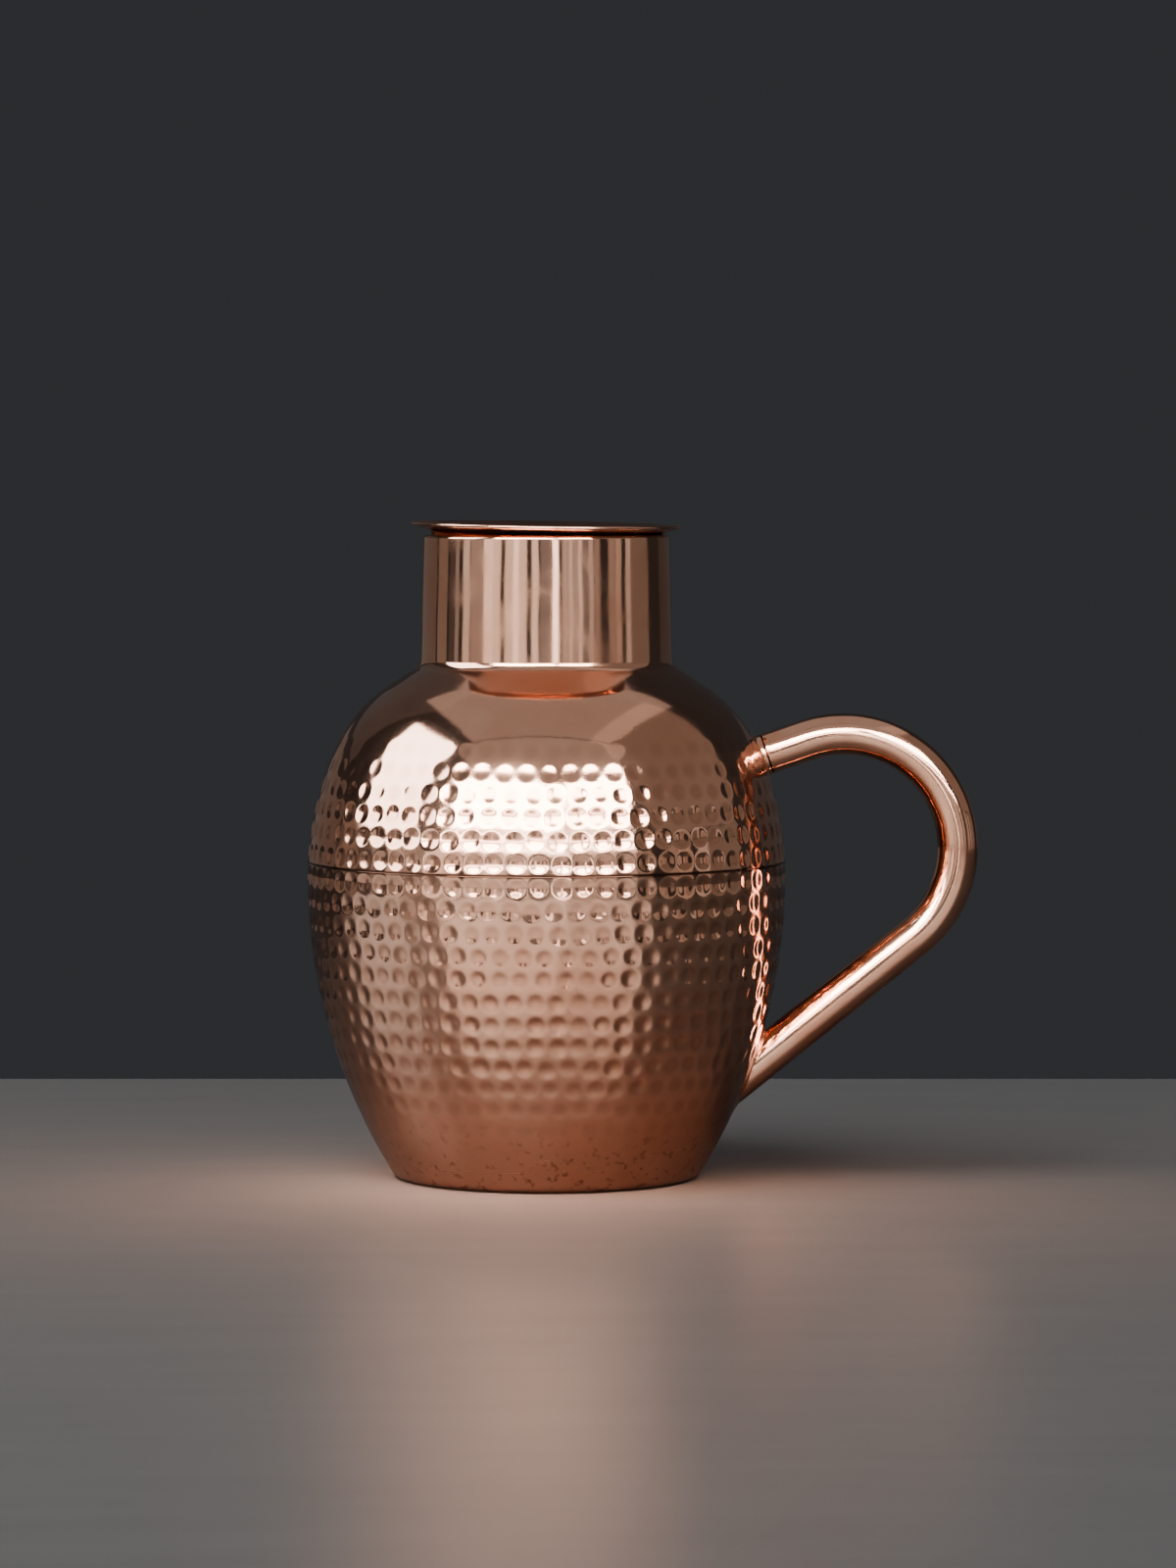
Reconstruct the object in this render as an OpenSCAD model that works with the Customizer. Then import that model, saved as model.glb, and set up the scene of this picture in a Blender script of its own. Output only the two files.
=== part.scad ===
// Hammered copper water jug with a loop handle and a tumbler that hangs in its neck.
// Millimetres, +Z up, origin on the table under the middle of the body, handle towards +X.

/* [Body] */
// Outside diameter at the belly
belly_d = 138.6; // [120:0.1:168]
// Height of the belly, the widest point
belly_z = 87; // [74:0.5:105]
// Height of the seam between the two shells, above the belly
seam_rise = 4.8; // [0:0.1:8]
// Radius of the flat ring that the jug stands on
foot_r = 41.6; // [35:0.1:50]
// Radius of the rounded corner between the foot ring and the flank
foot_round = 4; // [2.5:0.1:6]
// Radius of the curve of the flank just above the belly
upper_flank_r = 92; // [76:0.5:111]
// Angle above the horizontal at which that curve tightens into the shoulder
upper_flank_turn = 24; // [20:0.5:28]
// Radius of the curve of the shoulder
shoulder_r = 42; // [35:0.5:51]
// Angle above the horizontal at which the shoulder runs straight up to the neck
shoulder_turn = 57; // [50:0.5:64]
// Thickness of the sheet of the shells and of the collar
wall = 1; // [0.8:0.05:1.3]

/* [Joints between the shells] */
// Height of the lower shell's lip that stands inside the upper shell
lap_h = 4; // [3:0.1:6]
// Height of the sloped step that carries the lip inwards
joggle_h = 3; // [2:0.1:5]
// Clearance that the filler metal runs into
braze_gap = 0.1; // [0.05:0.05:0.2]
// Width of the fillers inside the body
braze_w = 1.2; // [0.8:0.1:1.6]
// Thickness of the filler under the neck
braze_t = 0.7; // [0.4:0.1:1]

/* [Base] */
// Inner radius of the turned-in foot ring
foot_ring_in_r = 30; // [24:0.5:34]
// Distance from the edge of the foot ring's flat to the edge of the base disc
disc_inset = 1.6; // [1.2:0.1:3]
// Distance from the foot ring's inner edge to the foot of the dome
dome_inset = 2; // [1:0.1:5]
// Height that the base disc domes upwards
dome_h = 2.5; // [1.5:0.1:5]

/* [Neck] */
// Outside radius at the foot of the neck
neck_foot_r = 36.5; // [31:0.1:43]
// Outside radius at the top of the neck
neck_top_r = 35.7; // [31:0.1:43]
// Height of the neck from the line of the shoulder to its top edge
neck_h = 37.5; // [31:0.5:45]
// Radius of the hollow curve at the foot of the neck
neck_fillet = 3.2; // [2:0.1:5]
// Width of the collar's skirt outside that curve
skirt_w = 0.6; // [0.4:0.1:2]
// Radius of the rolled top edge
bead_r = 1; // [1:0.05:1.4]

/* [Handle] */
// Angle above the horizontal, round the upper flank's curve, where the handle springs out
handle_root_turn = 22.5; // [16:0.5:24]
// Slope at which the handle leaves the body
handle_rise = 19; // [10:0.5:28]
// Length of the boss that shows between the body and the tube
boss_show = 1.6; // [1.2:0.1:4]
// Length of the straight at the tube's upper end
handle_lead = 12.3; // [8:0.1:16]
// Radius of the bend, at the middle of the tube
handle_bend_r = 33; // [26:0.5:40]
// Angle that the bend turns through
handle_turn = 160.2; // [158:0.1:166]
// How much the tube's radius shrinks where it is bent
bend_thinning = 0.02; // [0.01:0.01:0.05]
// Outside diameter of the tube
tube_d = 12; // [10:0.1:15]
// Thickness of the tube's wall
tube_wall = 1; // [0.8:0.1:1.5]
// Length of the boss's spigot inside the tube
spigot_l = 9; // [6:0.5:12]
// Clearance round the spigot
spigot_gap = 0.1; // [0.05:0.05:0.2]
// Width of the fillet of filler round the upper root
upper_fillet_w = 2.4; // [1.5:0.1:3.5]
// Width of the ring of filler round the lower root
lower_fillet_w = 1.5; // [1:0.1:2.5]
// Height of the ring of filler round the lower root
lower_fillet_h = 1.8; // [1:0.1:3]

/* [Tumbler] */
// How far the lip stands out past the top of the neck
lip_overhang = 3.4; // [2.5:0.1:5]
// Slope of the lip
lip_rise = 16; // [10:0.5:22]
// Outside radius at the foot of the tumbler
cup_foot_r = 26.5; // [22:0.1:31]
// Depth from the turn of the lip to the underside
cup_depth = 85; // [71:0.5:86]
// Radius of the rounded corner at the foot
cup_corner = 4; // [2.5:0.1:6]
// Thickness of the tumbler's sheet
cup_wall = 1; // [0.8:0.05:1.2]
// Sideways clearance between the tumbler and the neck's rolled edge
cup_play = 0.5; // [0.4:0.05:0.9]
// Clearance between the underside of the lip and the rolled edge
seat_gap = 0.3; // [0.2:0.05:0.35]
// How much wider the turn of the lip is than the rolled edge
turn_relief = 1; // [0.9:0.05:1.5]
// Angle at which the tumbler sits tipped in the neck
cup_tip = 1.2; // [0:0.1:1.5]
// Direction of its low side, from the handle round towards the back
cup_tip_heading = -40; // [-180:5:180]

/* [Hidden] */
$fn = 180;
hammered_copper = [0.68, 0.38, 0.26];
polished_copper = [0.78, 0.46, 0.32];
filler_metal = [0.72, 0.50, 0.36];

function heading(a) = [cos(a), sin(a)];
function left_of(a) = [-sin(a), cos(a)];
function arc(c, r, from, to, steps) = [for (i = [0:steps]) c + r * heading(from + (to - from) * i / steps)];

// Lower flank: one arc, upright at the belly and tangent to the rounded corner of the foot
belly_r = belly_d / 2;
flank_in = belly_r - foot_r;
flank_up = belly_z - foot_round;
flank_r = (flank_in * flank_in + flank_up * flank_up - foot_round * foot_round)
    / (2 * (flank_in - foot_round));
flank_c = [belly_r - flank_r, belly_z];
foot_c = [foot_r, foot_round];
flank_turn = atan2(flank_up, foot_r - flank_c.x);

// Upper flank and shoulder: two arcs that share a tangent, then a straight cone to the neck
upper_c = [belly_r - upper_flank_r, belly_z];
shoulder_c = upper_c + (upper_flank_r - shoulder_r) * heading(upper_flank_turn);
cone_start = shoulder_c + shoulder_r * heading(shoulder_turn);
function cone_z(r, inset) =
    cone_start.y + (cone_start.x - r) / tan(shoulder_turn) - inset / sin(shoulder_turn);

// Seam between the shells: the lower shell's lip clears the upper shell's inner face at its top edge
seam_z = belly_z + seam_rise;
function upper_r(z, inset) = upper_c.x + sqrt(pow(upper_flank_r - inset, 2) - pow(z - belly_z, 2));
lap_r = upper_r(seam_z + lap_h, wall) - braze_gap;

// Neck: a hollow curve out of the cone, a slightly tapered tube and a rolled edge
neck_fillet_c = [neck_foot_r + neck_fillet, cone_z(neck_foot_r + neck_fillet, -neck_fillet)];
seam_r = neck_fillet_c.x - neck_fillet * cos(shoulder_turn) + skirt_w;
bead_c = [neck_top_r - bead_r, cone_z(neck_foot_r, 0) + neck_h - bead_r];

// Base: the disc lies on the turned-in foot ring
disc_r = foot_r - disc_inset;
dome_foot_r = foot_ring_in_r - dome_inset;
dome_r = (dome_foot_r * dome_foot_r + dome_h * dome_h) / (2 * dome_h);
dome_c = [0, wall + dome_h - dome_r];

// Handle: straight, bend, straight, all in the plane of the body's axis
tube_r = tube_d / 2;
handle_root = upper_c + upper_flank_r * heading(handle_root_turn);
tube_end = handle_root + boss_show * heading(handle_rise);
bend_start = tube_end + handle_lead * heading(handle_rise);
bend_c = bend_start - handle_bend_r * left_of(handle_rise);
return_heading = handle_rise - handle_turn;
bend_end = bend_c + handle_bend_r * left_of(return_heading);
from_flank = bend_end - flank_c;
along = from_flank * heading(return_heading);
return_l = -along - sqrt(along * along - from_flank * from_flank + flank_r * flank_r);
lower_root = bend_end + return_l * heading(return_heading);
lower_normal = atan2(lower_root.y - flank_c.y, lower_root.x - flank_c.x);
bend_overlap = 0.3;
into_body = 1.5 * tube_d;

// Tumbler, about the middle of the turn of its lip: it rests on the rolled edge at its low side
turn_r = bead_r + turn_relief;
turn_c = [bead_c.x - bead_r - cup_play + turn_r, 0];
corner_c = [cup_foot_r - cup_corner, cup_corner - cup_depth];
cup_line = turn_c - corner_c;
cup_taper = atan2(cup_line.x, cup_line.y) - asin((cup_corner + turn_r) / norm(cup_line));
lip_start = turn_c + (turn_r + cup_wall / 2) * heading(90 + lip_rise);
lip_l = (neck_top_r + lip_overhang - cup_wall / 2 - lip_start.x) / cos(lip_rise);
lip_end = lip_start + lip_l * heading(lip_rise);
seat_drop = sqrt(pow(turn_relief - seat_gap, 2) - pow(turn_relief - cup_play, 2));
cup_z = bead_c.y - seat_drop + bead_c.x * sin(cup_tip);

// Angle round the arc of centre height belly_z and radius r at which the height is z
function turn_at(z, r) = asin((z - belly_z) / r);

// Outline of the lower shell up to a given height, a given distance in from its outer face
function lower_outline(inset, top_z) = concat(
    arc(foot_c, foot_round - inset, -90, -flank_turn, 6),
    arc(flank_c, flank_r - inset, -flank_turn, min(0, turn_at(top_z, flank_r - inset)), 14),
    top_z > belly_z ? arc(upper_c, upper_flank_r - inset, 0, turn_at(top_z, upper_flank_r - inset), 2) : []);

// Outline of the upper shell from the seam up to a given radius
function upper_outline(inset, end_r) = concat(
    arc(upper_c, upper_flank_r - inset, turn_at(seam_z, upper_flank_r - inset), upper_flank_turn, 10),
    arc(shoulder_c, shoulder_r - inset, upper_flank_turn, shoulder_turn, 12),
    [[end_r, cone_z(end_r, inset)]]);

function reversed(points) = [for (i = [len(points) - 1:-1:0]) points[i]];

// Everything inside the outer face of the two shells
module body_envelope() {
    rotate_extrude()
        polygon(concat([[0, 0]], lower_outline(0, seam_z), upper_outline(0, seam_r),
            [[0, cone_z(seam_r, 0)]]));
}

// Places its children with their Z axis along the given heading in the plane of the handle
module aim(at, angle) {
    translate([at.x, 0, at.y])
        rotate([0, 90 - angle, 0])
            children();
}

// The handle's rod, of radius r, drawn about the middle of its bend: a straight to the square end
// at the top, the bend, and a straight down to well inside the body
module handle_rod(r) {
    translate([bend_c.x, 0, bend_c.y])
        rotate([90, 0, 0])
            rotate([0, 0, return_heading + 90]) {
                rotate_extrude(angle = handle_turn)
                    translate([handle_bend_r, 0])
                        circle(r - bend_thinning);
                rotate([0, 0, handle_turn])
                    translate([handle_bend_r, -bend_overlap, 0])
                        rotate([-90, 0, 0])
                            cylinder(h = bend_overlap + handle_lead, r = r);
                translate([handle_bend_r, bend_overlap, 0])
                    rotate([90, 0, 0])
                        cylinder(h = bend_overlap + return_l + into_body, r = r);
            }
}

function dome_arc(r) = arc(dome_c, r, 90, 90 - acos((r - dome_h) / r), 6);

// Disc that closes the bottom, domed up inside the foot ring
module base_disc() {
    color(polished_copper)
        rotate_extrude()
            polygon(concat(dome_arc(dome_r), [[disc_r, wall], [disc_r, 2 * wall]],
                reversed(dome_arc(dome_r + wall))));
}

// Filler round the edge of the base disc, inside the foot
module base_braze() {
    color(filler_metal)
        rotate_extrude()
            translate([disc_r, wall])
                square([braze_w, wall]);
}

// Lower shell: foot ring, rounded corner, flank and the lip that stands inside the upper shell
module lower_shell() {
    color(hammered_copper)
        rotate_extrude()
            polygon(concat([[foot_ring_in_r, 0]], lower_outline(0, seam_z),
                [[lap_r, seam_z], [lap_r, seam_z + lap_h], [lap_r - wall, seam_z + lap_h],
                    [lap_r - wall, seam_z - wall]],
                reversed(lower_outline(wall, seam_z - joggle_h)), [[foot_ring_in_r, wall]]));
}

// Upper shell: flank, shoulder and cone, open where the neck stands
module upper_shell() {
    color(hammered_copper)
        rotate_extrude()
            polygon(concat(upper_outline(0, seam_r), reversed(upper_outline(wall, seam_r))));
}

// Filler on the edge of the lower shell's lip, inside the belly
module belly_braze() {
    color(filler_metal)
        rotate_extrude()
            intersection() {
                translate([lap_r - wall, seam_z + lap_h])
                    square([wall + 2 * braze_gap, braze_w]);
                polygon(concat([[0, seam_z]], upper_outline(wall, seam_r)));
            }
}

// Collar: skirt, hollow curve, tapered neck and rolled edge
module neck_collar() {
    bead_turn = 360 - acos((bead_r - wall) / bead_r);
    color(polished_copper)
        rotate_extrude()
            polygon(concat([[seam_r, cone_z(seam_r, 0)]],
                arc(neck_fillet_c, neck_fillet, 180 + shoulder_turn, 180, 8),
                arc(bead_c, bead_r, 0, bead_turn, 24),
                arc(neck_fillet_c, neck_fillet + wall, 180, 180 + shoulder_turn, 8),
                [[seam_r, cone_z(seam_r, wall)]]));
}

// Filler under the seam between the collar and the upper shell
module neck_braze() {
    in_r = seam_r - skirt_w;
    out_r = in_r + 2 * braze_w;
    color(filler_metal)
        rotate_extrude()
            polygon([[in_r, cone_z(in_r, wall)], [out_r, cone_z(out_r, wall)],
                [out_r, cone_z(out_r, wall + braze_t)], [in_r, cone_z(in_r, wall + braze_t)]]);
}

// Handle: one bent tube, square at the top and cut to the body at the bottom
module handle_tube() {
    color(polished_copper)
        difference() {
            handle_rod(tube_r);
            handle_rod(tube_r - tube_wall);
            body_envelope();
        }
}

// Boss at the top of the handle, with a spigot that the tube slides over
module handle_boss() {
    color(polished_copper)
        difference() {
            union() {
                aim(tube_end, handle_rise + 180)
                    cylinder(h = into_body, r = tube_r);
                aim(tube_end, handle_rise)
                    cylinder(h = spigot_l, r = tube_r - tube_wall - spigot_gap);
            }
            body_envelope();
        }
}

// Hollow fillet of filler round the root of the boss
module upper_root_braze() {
    color(filler_metal)
        difference() {
            aim(handle_root, handle_rise)
                rotate_extrude()
                    difference() {
                        translate([tube_r, -upper_fillet_w])
                            square([upper_fillet_w, upper_fillet_w + boss_show]);
                        translate([tube_r + upper_fillet_w, boss_show])
                            circle(boss_show);
                    }
            body_envelope();
        }
}

// Ring of filler round the foot of the tube, level with the slope of the body
module lower_root_braze() {
    color(filler_metal)
        difference() {
            intersection() {
                aim(lower_root, return_heading)
                    cylinder(h = 4 * tube_d, r = tube_r + lower_fillet_w, center = true);
                aim(lower_root, lower_normal)
                    cylinder(h = 2 * lower_fillet_h, r = 2 * tube_d, center = true);
            }
            aim(bend_end, return_heading)
                cylinder(h = return_l + into_body, r = tube_r);
            body_envelope();
        }
}

// Tumbler: flat foot, tapered wall and a flared lip that hangs on the neck's rolled edge
module tumbler() {
    color(polished_copper)
        translate([0, 0, cup_z])
            rotate([0, 0, cup_tip_heading])
                rotate([0, cup_tip, 0])
                    rotate_extrude()
                        polygon(concat([[0, -cup_depth]],
                            arc(corner_c, cup_corner, -90, -cup_taper, 6),
                            arc(turn_c, turn_r, 180 - cup_taper, 90 + lip_rise, 8),
                            arc(lip_end, cup_wall / 2, lip_rise - 90, lip_rise + 90, 8),
                            arc(turn_c, turn_r + cup_wall, 90 + lip_rise, 180 - cup_taper, 8),
                            arc(corner_c, cup_corner - cup_wall, -cup_taper, -90, 6),
                            [[0, cup_wall - cup_depth]]));
}

base_disc();
base_braze();
lower_shell();
upper_shell();
belly_braze();
neck_collar();
neck_braze();
handle_tube();
handle_boss();
upper_root_braze();
lower_root_braze();
tumbler();
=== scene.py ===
"""Looks of a hammered copper water jug with a tube handle and a tumbler that hangs in its neck.

Laid out as an add-on: settings, one operator for each piece or group of like pieces, and a panel.
Metres, +Z up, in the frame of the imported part, with the handle towards +X.
"""
import math

import bmesh
import bpy
from mathutils import Matrix, Vector


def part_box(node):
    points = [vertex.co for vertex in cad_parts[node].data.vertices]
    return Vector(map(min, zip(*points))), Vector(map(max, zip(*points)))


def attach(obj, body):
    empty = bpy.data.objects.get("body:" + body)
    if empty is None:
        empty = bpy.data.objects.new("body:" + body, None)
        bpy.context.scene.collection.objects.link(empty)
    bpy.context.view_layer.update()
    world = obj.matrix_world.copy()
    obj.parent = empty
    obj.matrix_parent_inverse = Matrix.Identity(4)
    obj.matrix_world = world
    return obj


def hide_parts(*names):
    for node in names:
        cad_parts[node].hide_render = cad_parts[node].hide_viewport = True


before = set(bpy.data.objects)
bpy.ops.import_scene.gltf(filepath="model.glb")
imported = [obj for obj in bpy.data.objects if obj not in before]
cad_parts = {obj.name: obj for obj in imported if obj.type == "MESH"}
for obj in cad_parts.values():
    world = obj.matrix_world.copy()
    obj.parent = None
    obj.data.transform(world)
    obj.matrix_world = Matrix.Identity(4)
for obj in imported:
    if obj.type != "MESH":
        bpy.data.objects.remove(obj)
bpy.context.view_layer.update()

bl_info = {
    "name": "Hammered Copper Jug",
    "version": (1, 0, 0),
    "blender": (4, 5, 0),
    "location": "View3D > Sidebar > Copper Jug",
    "description": "Builds a hammered copper water jug with its tumbler, piece by piece",
    "category": "Add Mesh",
}

MM = 0.001
CREASE = math.radians(50)
LOWER_SIDES, LOWER_RINGS = 560, 146
UPPER_SIDES, UPPER_RINGS = 640, 128
EDGE_STEPS = 4
NECK_SIDES = 320
TUMBLER_SIDES = 320
BASE_SIDES = 192
TUBE_SIDES = 56
FILLET_STEPS = 10
HALVINGS = 40
MERGE = 1e-7
ON_AXIS = 1e-9
SHORTEST = 1e-12
COPE_REACH = 0.1
CENTRE_FLAT = 2 * MM
FILLER_SINK = 0.2 * MM
INNER_FILLERS = ("base_braze", "belly_braze", "neck_braze")
GRAIN = ("grain_along", "grain_across", "grain_over")
BOWL_POWER = 1.15
MARK_WIDTH_SPREAD = 0.035
MARK_DEPTH_SPREAD = 0.22
ROW_APART = 1000.0
# Waves round a spun piece: how many, where they start, their change per metre of height, and their share.
RIPPLES = ((3, 0.6, 0, 1.0), (7, 0.0, 190, 0.6), (13, 0.0, -260, 0.35))
WAVE_RISE, WAVE_RUN_ON, WAVE_FALL = 3 * MM, 4 * MM, 12 * MM
# Painted shade in the seam grooves: how strongly it darkens them, and how much darker than dark copper it is.
SEAM_SHADE_AMOUNT = 0.93
SEAM_SHADE_DARKNESS = 0.3
TUMBLER_DULLER = 0.05
FLOOR_THICK, FLOOR_EDGE = 0.02, 0.002
SENSOR = 36.0
LIT_HEIGHT = 0.1
PANEL_AWAY = 2.2
NEAR_TOP = math.radians(80)


# ---------------------------------------------------------------- settings

def length(name, description, default):
    """A length setting, in metres."""
    return bpy.props.FloatProperty(
        name=name, description=description, default=default, unit="LENGTH", precision=5)


def angle(name, description, degrees):
    """An angle setting, given in degrees and held in radians."""
    return bpy.props.FloatProperty(
        name=name, description=description, default=math.radians(degrees), subtype="ANGLE")


def share(name, description, default):
    """A setting from 0 to 1."""
    return bpy.props.FloatProperty(
        name=name, description=description, default=default, min=0, max=1, subtype="FACTOR")


def number(name, description, default):
    """A plain number."""
    return bpy.props.FloatProperty(name=name, description=description, default=default)


def count(name, description, default):
    """A whole number, at least 1."""
    return bpy.props.IntProperty(name=name, description=description, default=default, min=1)


def colour(name, description, default):
    """A colour, as red, green and blue."""
    return bpy.props.FloatVectorProperty(
        name=name, description=description, default=default, size=3, min=0, max=1, subtype="COLOR")


class BodySettings(bpy.types.PropertyGroup):
    """Outline of the two shells and the base."""
    belly_r: length("Belly radius", "Outside radius at the widest point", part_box("lower_shell")[1].x)
    seam_z: length("Seam height", "Height of the seam between the shells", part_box("upper_shell")[0].z)
    seam_rise: length("Seam rise", "Height of that seam above the widest point", 4.8 * MM)
    foot_r: length("Foot radius", "Radius of the flat ring that the jug stands on", 41.6 * MM)
    foot_round: length("Foot corner", "Radius of the rounded corner of the foot", 4 * MM)
    upper_r: length("Upper flank curve", "Radius of the curve above the belly", 92 * MM)
    upper_turn: angle("Upper flank end", "Angle at which the shoulder begins", 24)
    shoulder_r: length("Shoulder curve", "Radius of the curve of the shoulder", 42 * MM)
    shoulder_turn: angle("Shoulder end", "Angle at which the cone to the neck begins", 57)
    wall: length("Sheet", "Thickness of the sheet", 1 * MM)
    lap_h: length("Lap", "Height of the lip inside the upper shell", 4 * MM)
    joggle_h: length("Step", "Height of the step below that lip", 3 * MM)
    braze_gap: length("Lap clearance", "Clearance outside the lip", 0.1 * MM)
    edge_break: length("Edge break", "How far the seam edges are rubbed round", 0.2 * MM)
    ring_in_r: length("Foot ring", "Inner radius of the turned-in foot ring", 30 * MM)
    dome_inset: length("Dome inset", "From the foot ring's inner edge to the dome", 2 * MM)
    dome_h: length("Dome height", "Height of the base disc's dome", 2.5 * MM)
    disc_inset: length("Disc inset", "From the foot ring's flat edge to the disc's edge", 1.6 * MM)


class HammerSettings(bpy.types.PropertyGroup):
    """Rows of round hammer marks."""
    mark_d: length("Mark width", "Diameter of one mark", 5.5 * MM)
    depth: length("Mark depth", "Depth of one mark", 0.38 * MM)
    pitch: length("Pitch in a row", "Distance between marks in a row", 6.2 * MM)
    row_pitch: length("Row pitch", "Distance between rows along the sheet", 6.5 * MM)
    first_row: length("First row", "Distance from the seam to the nearest row", 3.4 * MM)
    upper_rows: count("Upper rows", "Rows on the upper shell", 7)
    lower_rows: count("Lower rows", "Rows on the lower shell", 13)
    upper_faint: number("Faint rows above", "Rows over which the marks fade out towards the neck", 4.6)
    lower_faint: number("Faint rows below", "Rows over which the marks fade out towards the foot", 5.0)
    fade_power: number("Fade", "How quickly they fade: above 1, the last rows are faintest", 1.8)
    stray: length("Stray", "How far a mark strays from its place", 0.32 * MM)
    wave: length("Wave", "Depth of the slow unevenness of the hammered sheet", 0.12 * MM)
    seed: bpy.props.IntProperty(name="Seed", description="Seed of the strays", default=7)


class NeckSettings(bpy.types.PropertyGroup):
    """Polished collar."""
    foot_r: length("Foot radius", "Outside radius at the foot of the neck", 36.5 * MM)
    top_r: length("Top radius", "Outside radius at the top of the neck", 35.7 * MM)
    height: length("Height", "From the line of the shoulder to the top edge", 37.5 * MM)
    fillet: length("Hollow curve", "Radius of the hollow curve at the foot", 3.2 * MM)
    skirt_w: length("Skirt", "Width of the skirt outside that curve", 0.6 * MM)
    bead_r: length("Rolled edge", "Radius of the rolled top edge", 1 * MM)
    ripple: length("Ripple", "How far the collar is out of round", 0.07 * MM)


class HandleSettings(bpy.types.PropertyGroup):
    """Bent tube, boss and roots."""
    root_turn: angle("Root", "Angle round the upper flank's curve where the handle springs", 22.5)
    rise: angle("Rise", "Slope at which the handle leaves the body", 19)
    boss_show: length("Boss", "Length of boss that shows", 1.6 * MM)
    lead: length("Lead", "Length of the straight at the top", 12.3 * MM)
    bend_r: length("Bend", "Radius of the bend at the middle of the tube", 33 * MM)
    turn: angle("Turn", "Angle of the bend", 160.2)
    tube_d: length("Tube", "Outside diameter of the tube", 12 * MM)
    tube_wall: length("Tube wall", "Thickness of the tube's wall", 1 * MM)
    oval: share("Oval", "How much the bend flattens the tube", 0.018)
    spigot_l: length("Spigot", "Length of the boss's spigot inside the tube", 9 * MM)
    spigot_gap: length("Spigot clearance", "Clearance round the spigot", 0.1 * MM)
    edge_break: length("Edge break", "How far the edges at the boss's seam are rubbed round", 0.35 * MM)


class FillerSettings(bpy.types.PropertyGroup):
    """Fillets of filler at the handle's roots."""
    upper_w: length("Upper width", "Width of the fillet round the boss", 2.2 * MM)
    upper_h: length("Upper height", "Height of the fillet along the boss", 1.3 * MM)
    lower_w: length("Lower width", "Width of the fillet round the foot of the tube", 1.2 * MM)
    lower_h: length("Lower height", "Height of the fillet along the foot of the tube", 1.3 * MM)
    lower_grow: share("Lower growth", "How much larger the fillet is on the side where the tube leans", 0.8)


class TumblerSettings(bpy.types.PropertyGroup):
    """Tumbler that hangs in the neck."""
    overhang: length("Overhang", "How far the lip stands out past the neck", 3.4 * MM)
    lip_rise: angle("Lip slope", "Slope of the lip", 16)
    foot_r: length("Foot radius", "Outside radius at the foot", 26.5 * MM)
    depth: length("Depth", "From the turn of the lip to the underside", 85 * MM)
    corner: length("Corner", "Radius of the corner at the foot", 4 * MM)
    wall: length("Sheet", "Thickness of the sheet", 1 * MM)
    play: length("Play", "Sideways clearance in the neck", 0.5 * MM)
    seat_gap: length("Seat", "Clearance under the lip", 0.3 * MM)
    relief: length("Turn relief", "How much wider the lip's turn is than the rolled edge", 1 * MM)
    tip: angle("Tip", "Angle at which the tumbler sits tipped", 1.2)
    tip_heading: angle("Low side", "Direction of its low side, from the handle", -40)


class CopperSettings(bpy.types.PropertyGroup):
    """Colours and polish."""
    bright: colour("Bright copper", "Colour of clean polished copper", (0.88, 0.48, 0.33))
    warm: colour("Warm copper", "Colour where handling and heat have deepened it", (0.72, 0.31, 0.18))
    # Dark copper, darkened further, is also the painted shade in the seam grooves.
    dark: colour("Dark copper", "Colour of tarnish in corners and marks", (0.24, 0.09, 0.05))
    filler: colour("Filler", "Colour of the brazing filler", (0.86, 0.48, 0.30))
    polished: share("Neck polish", "Roughness of the neck and lip", 0.065)
    buffed: share("Handle polish", "Roughness of the handle", 0.08)
    hammered: share("Hammered polish", "Roughness of the hammered sheet", 0.08)


class StageSettings(bpy.types.PropertyGroup):
    """Floor, lights and camera."""
    floor: colour("Floor", "Colour of the floor", (0.80, 0.79, 0.775))
    floor_dim: share("Floor in the polish", "Share of the floor's brightness that the polish sees", 0.36)
    world: colour("Surround", "Colour of the surround", (0.030, 0.032, 0.035))
    floor_back: length("Floor behind", "How far the floor runs behind the jug", 0.27)
    floor_front: length("Floor in front", "How far the floor runs in front of the jug", 1.5)
    floor_half: length("Floor half width", "How far the floor runs to each side", 1.2)
    camera_y: length("Camera distance", "Distance from the jug's axis to the camera", 1.613)
    camera_z: length("Camera height", "Height of the camera", 0.198)
    aim_x: length("Aim across", "Where the camera aims, across", 0.012)
    aim_z: length("Aim height", "Where the camera aims, up", 0.114)
    lens: number("Lens", "Focal length in millimetres on a 36 mm sensor", 128.0)
    soft_size: length("Soft light", "Diameter of the soft light over the floor", 1.0)
    soft_power: number("Soft light power", "Power of that light, in watts", 3.6)
    soft_place: bpy.props.FloatVectorProperty(
        name="Soft light place", description="Where that light hangs", default=(-0.5, -0.5, 1.4),
        subtype="TRANSLATION", unit="LENGTH")


SETTINGS = {
    "jug_body": BodySettings,
    "jug_hammer": HammerSettings,
    "jug_neck": NeckSettings,
    "jug_handle": HandleSettings,
    "jug_fillers": FillerSettings,
    "jug_tumbler": TumblerSettings,
    "jug_copper": CopperSettings,
    "jug_stage": StageSettings,
}


# ---------------------------------------------------------------- outlines
# The last number given to arc, line, between and hollow_curve is how many steps the run is cut into.

def heading(turn):
    """Unit vector at an angle, in a plane of radius or X and height."""
    return Vector((math.cos(turn), math.sin(turn)))


def left_of(turn):
    """Unit vector a quarter turn to the left of that."""
    return Vector((-math.sin(turn), math.cos(turn)))


def arc(centre, radius, start, end, steps):
    """Points round an arc, both ends included."""
    return [centre + radius * heading(start + (end - start) * i / steps) for i in range(steps + 1)]


def line(start, end, steps):
    """Points along a straight, without its last."""
    return [start.lerp(end, i / steps) for i in range(steps)]


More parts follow.
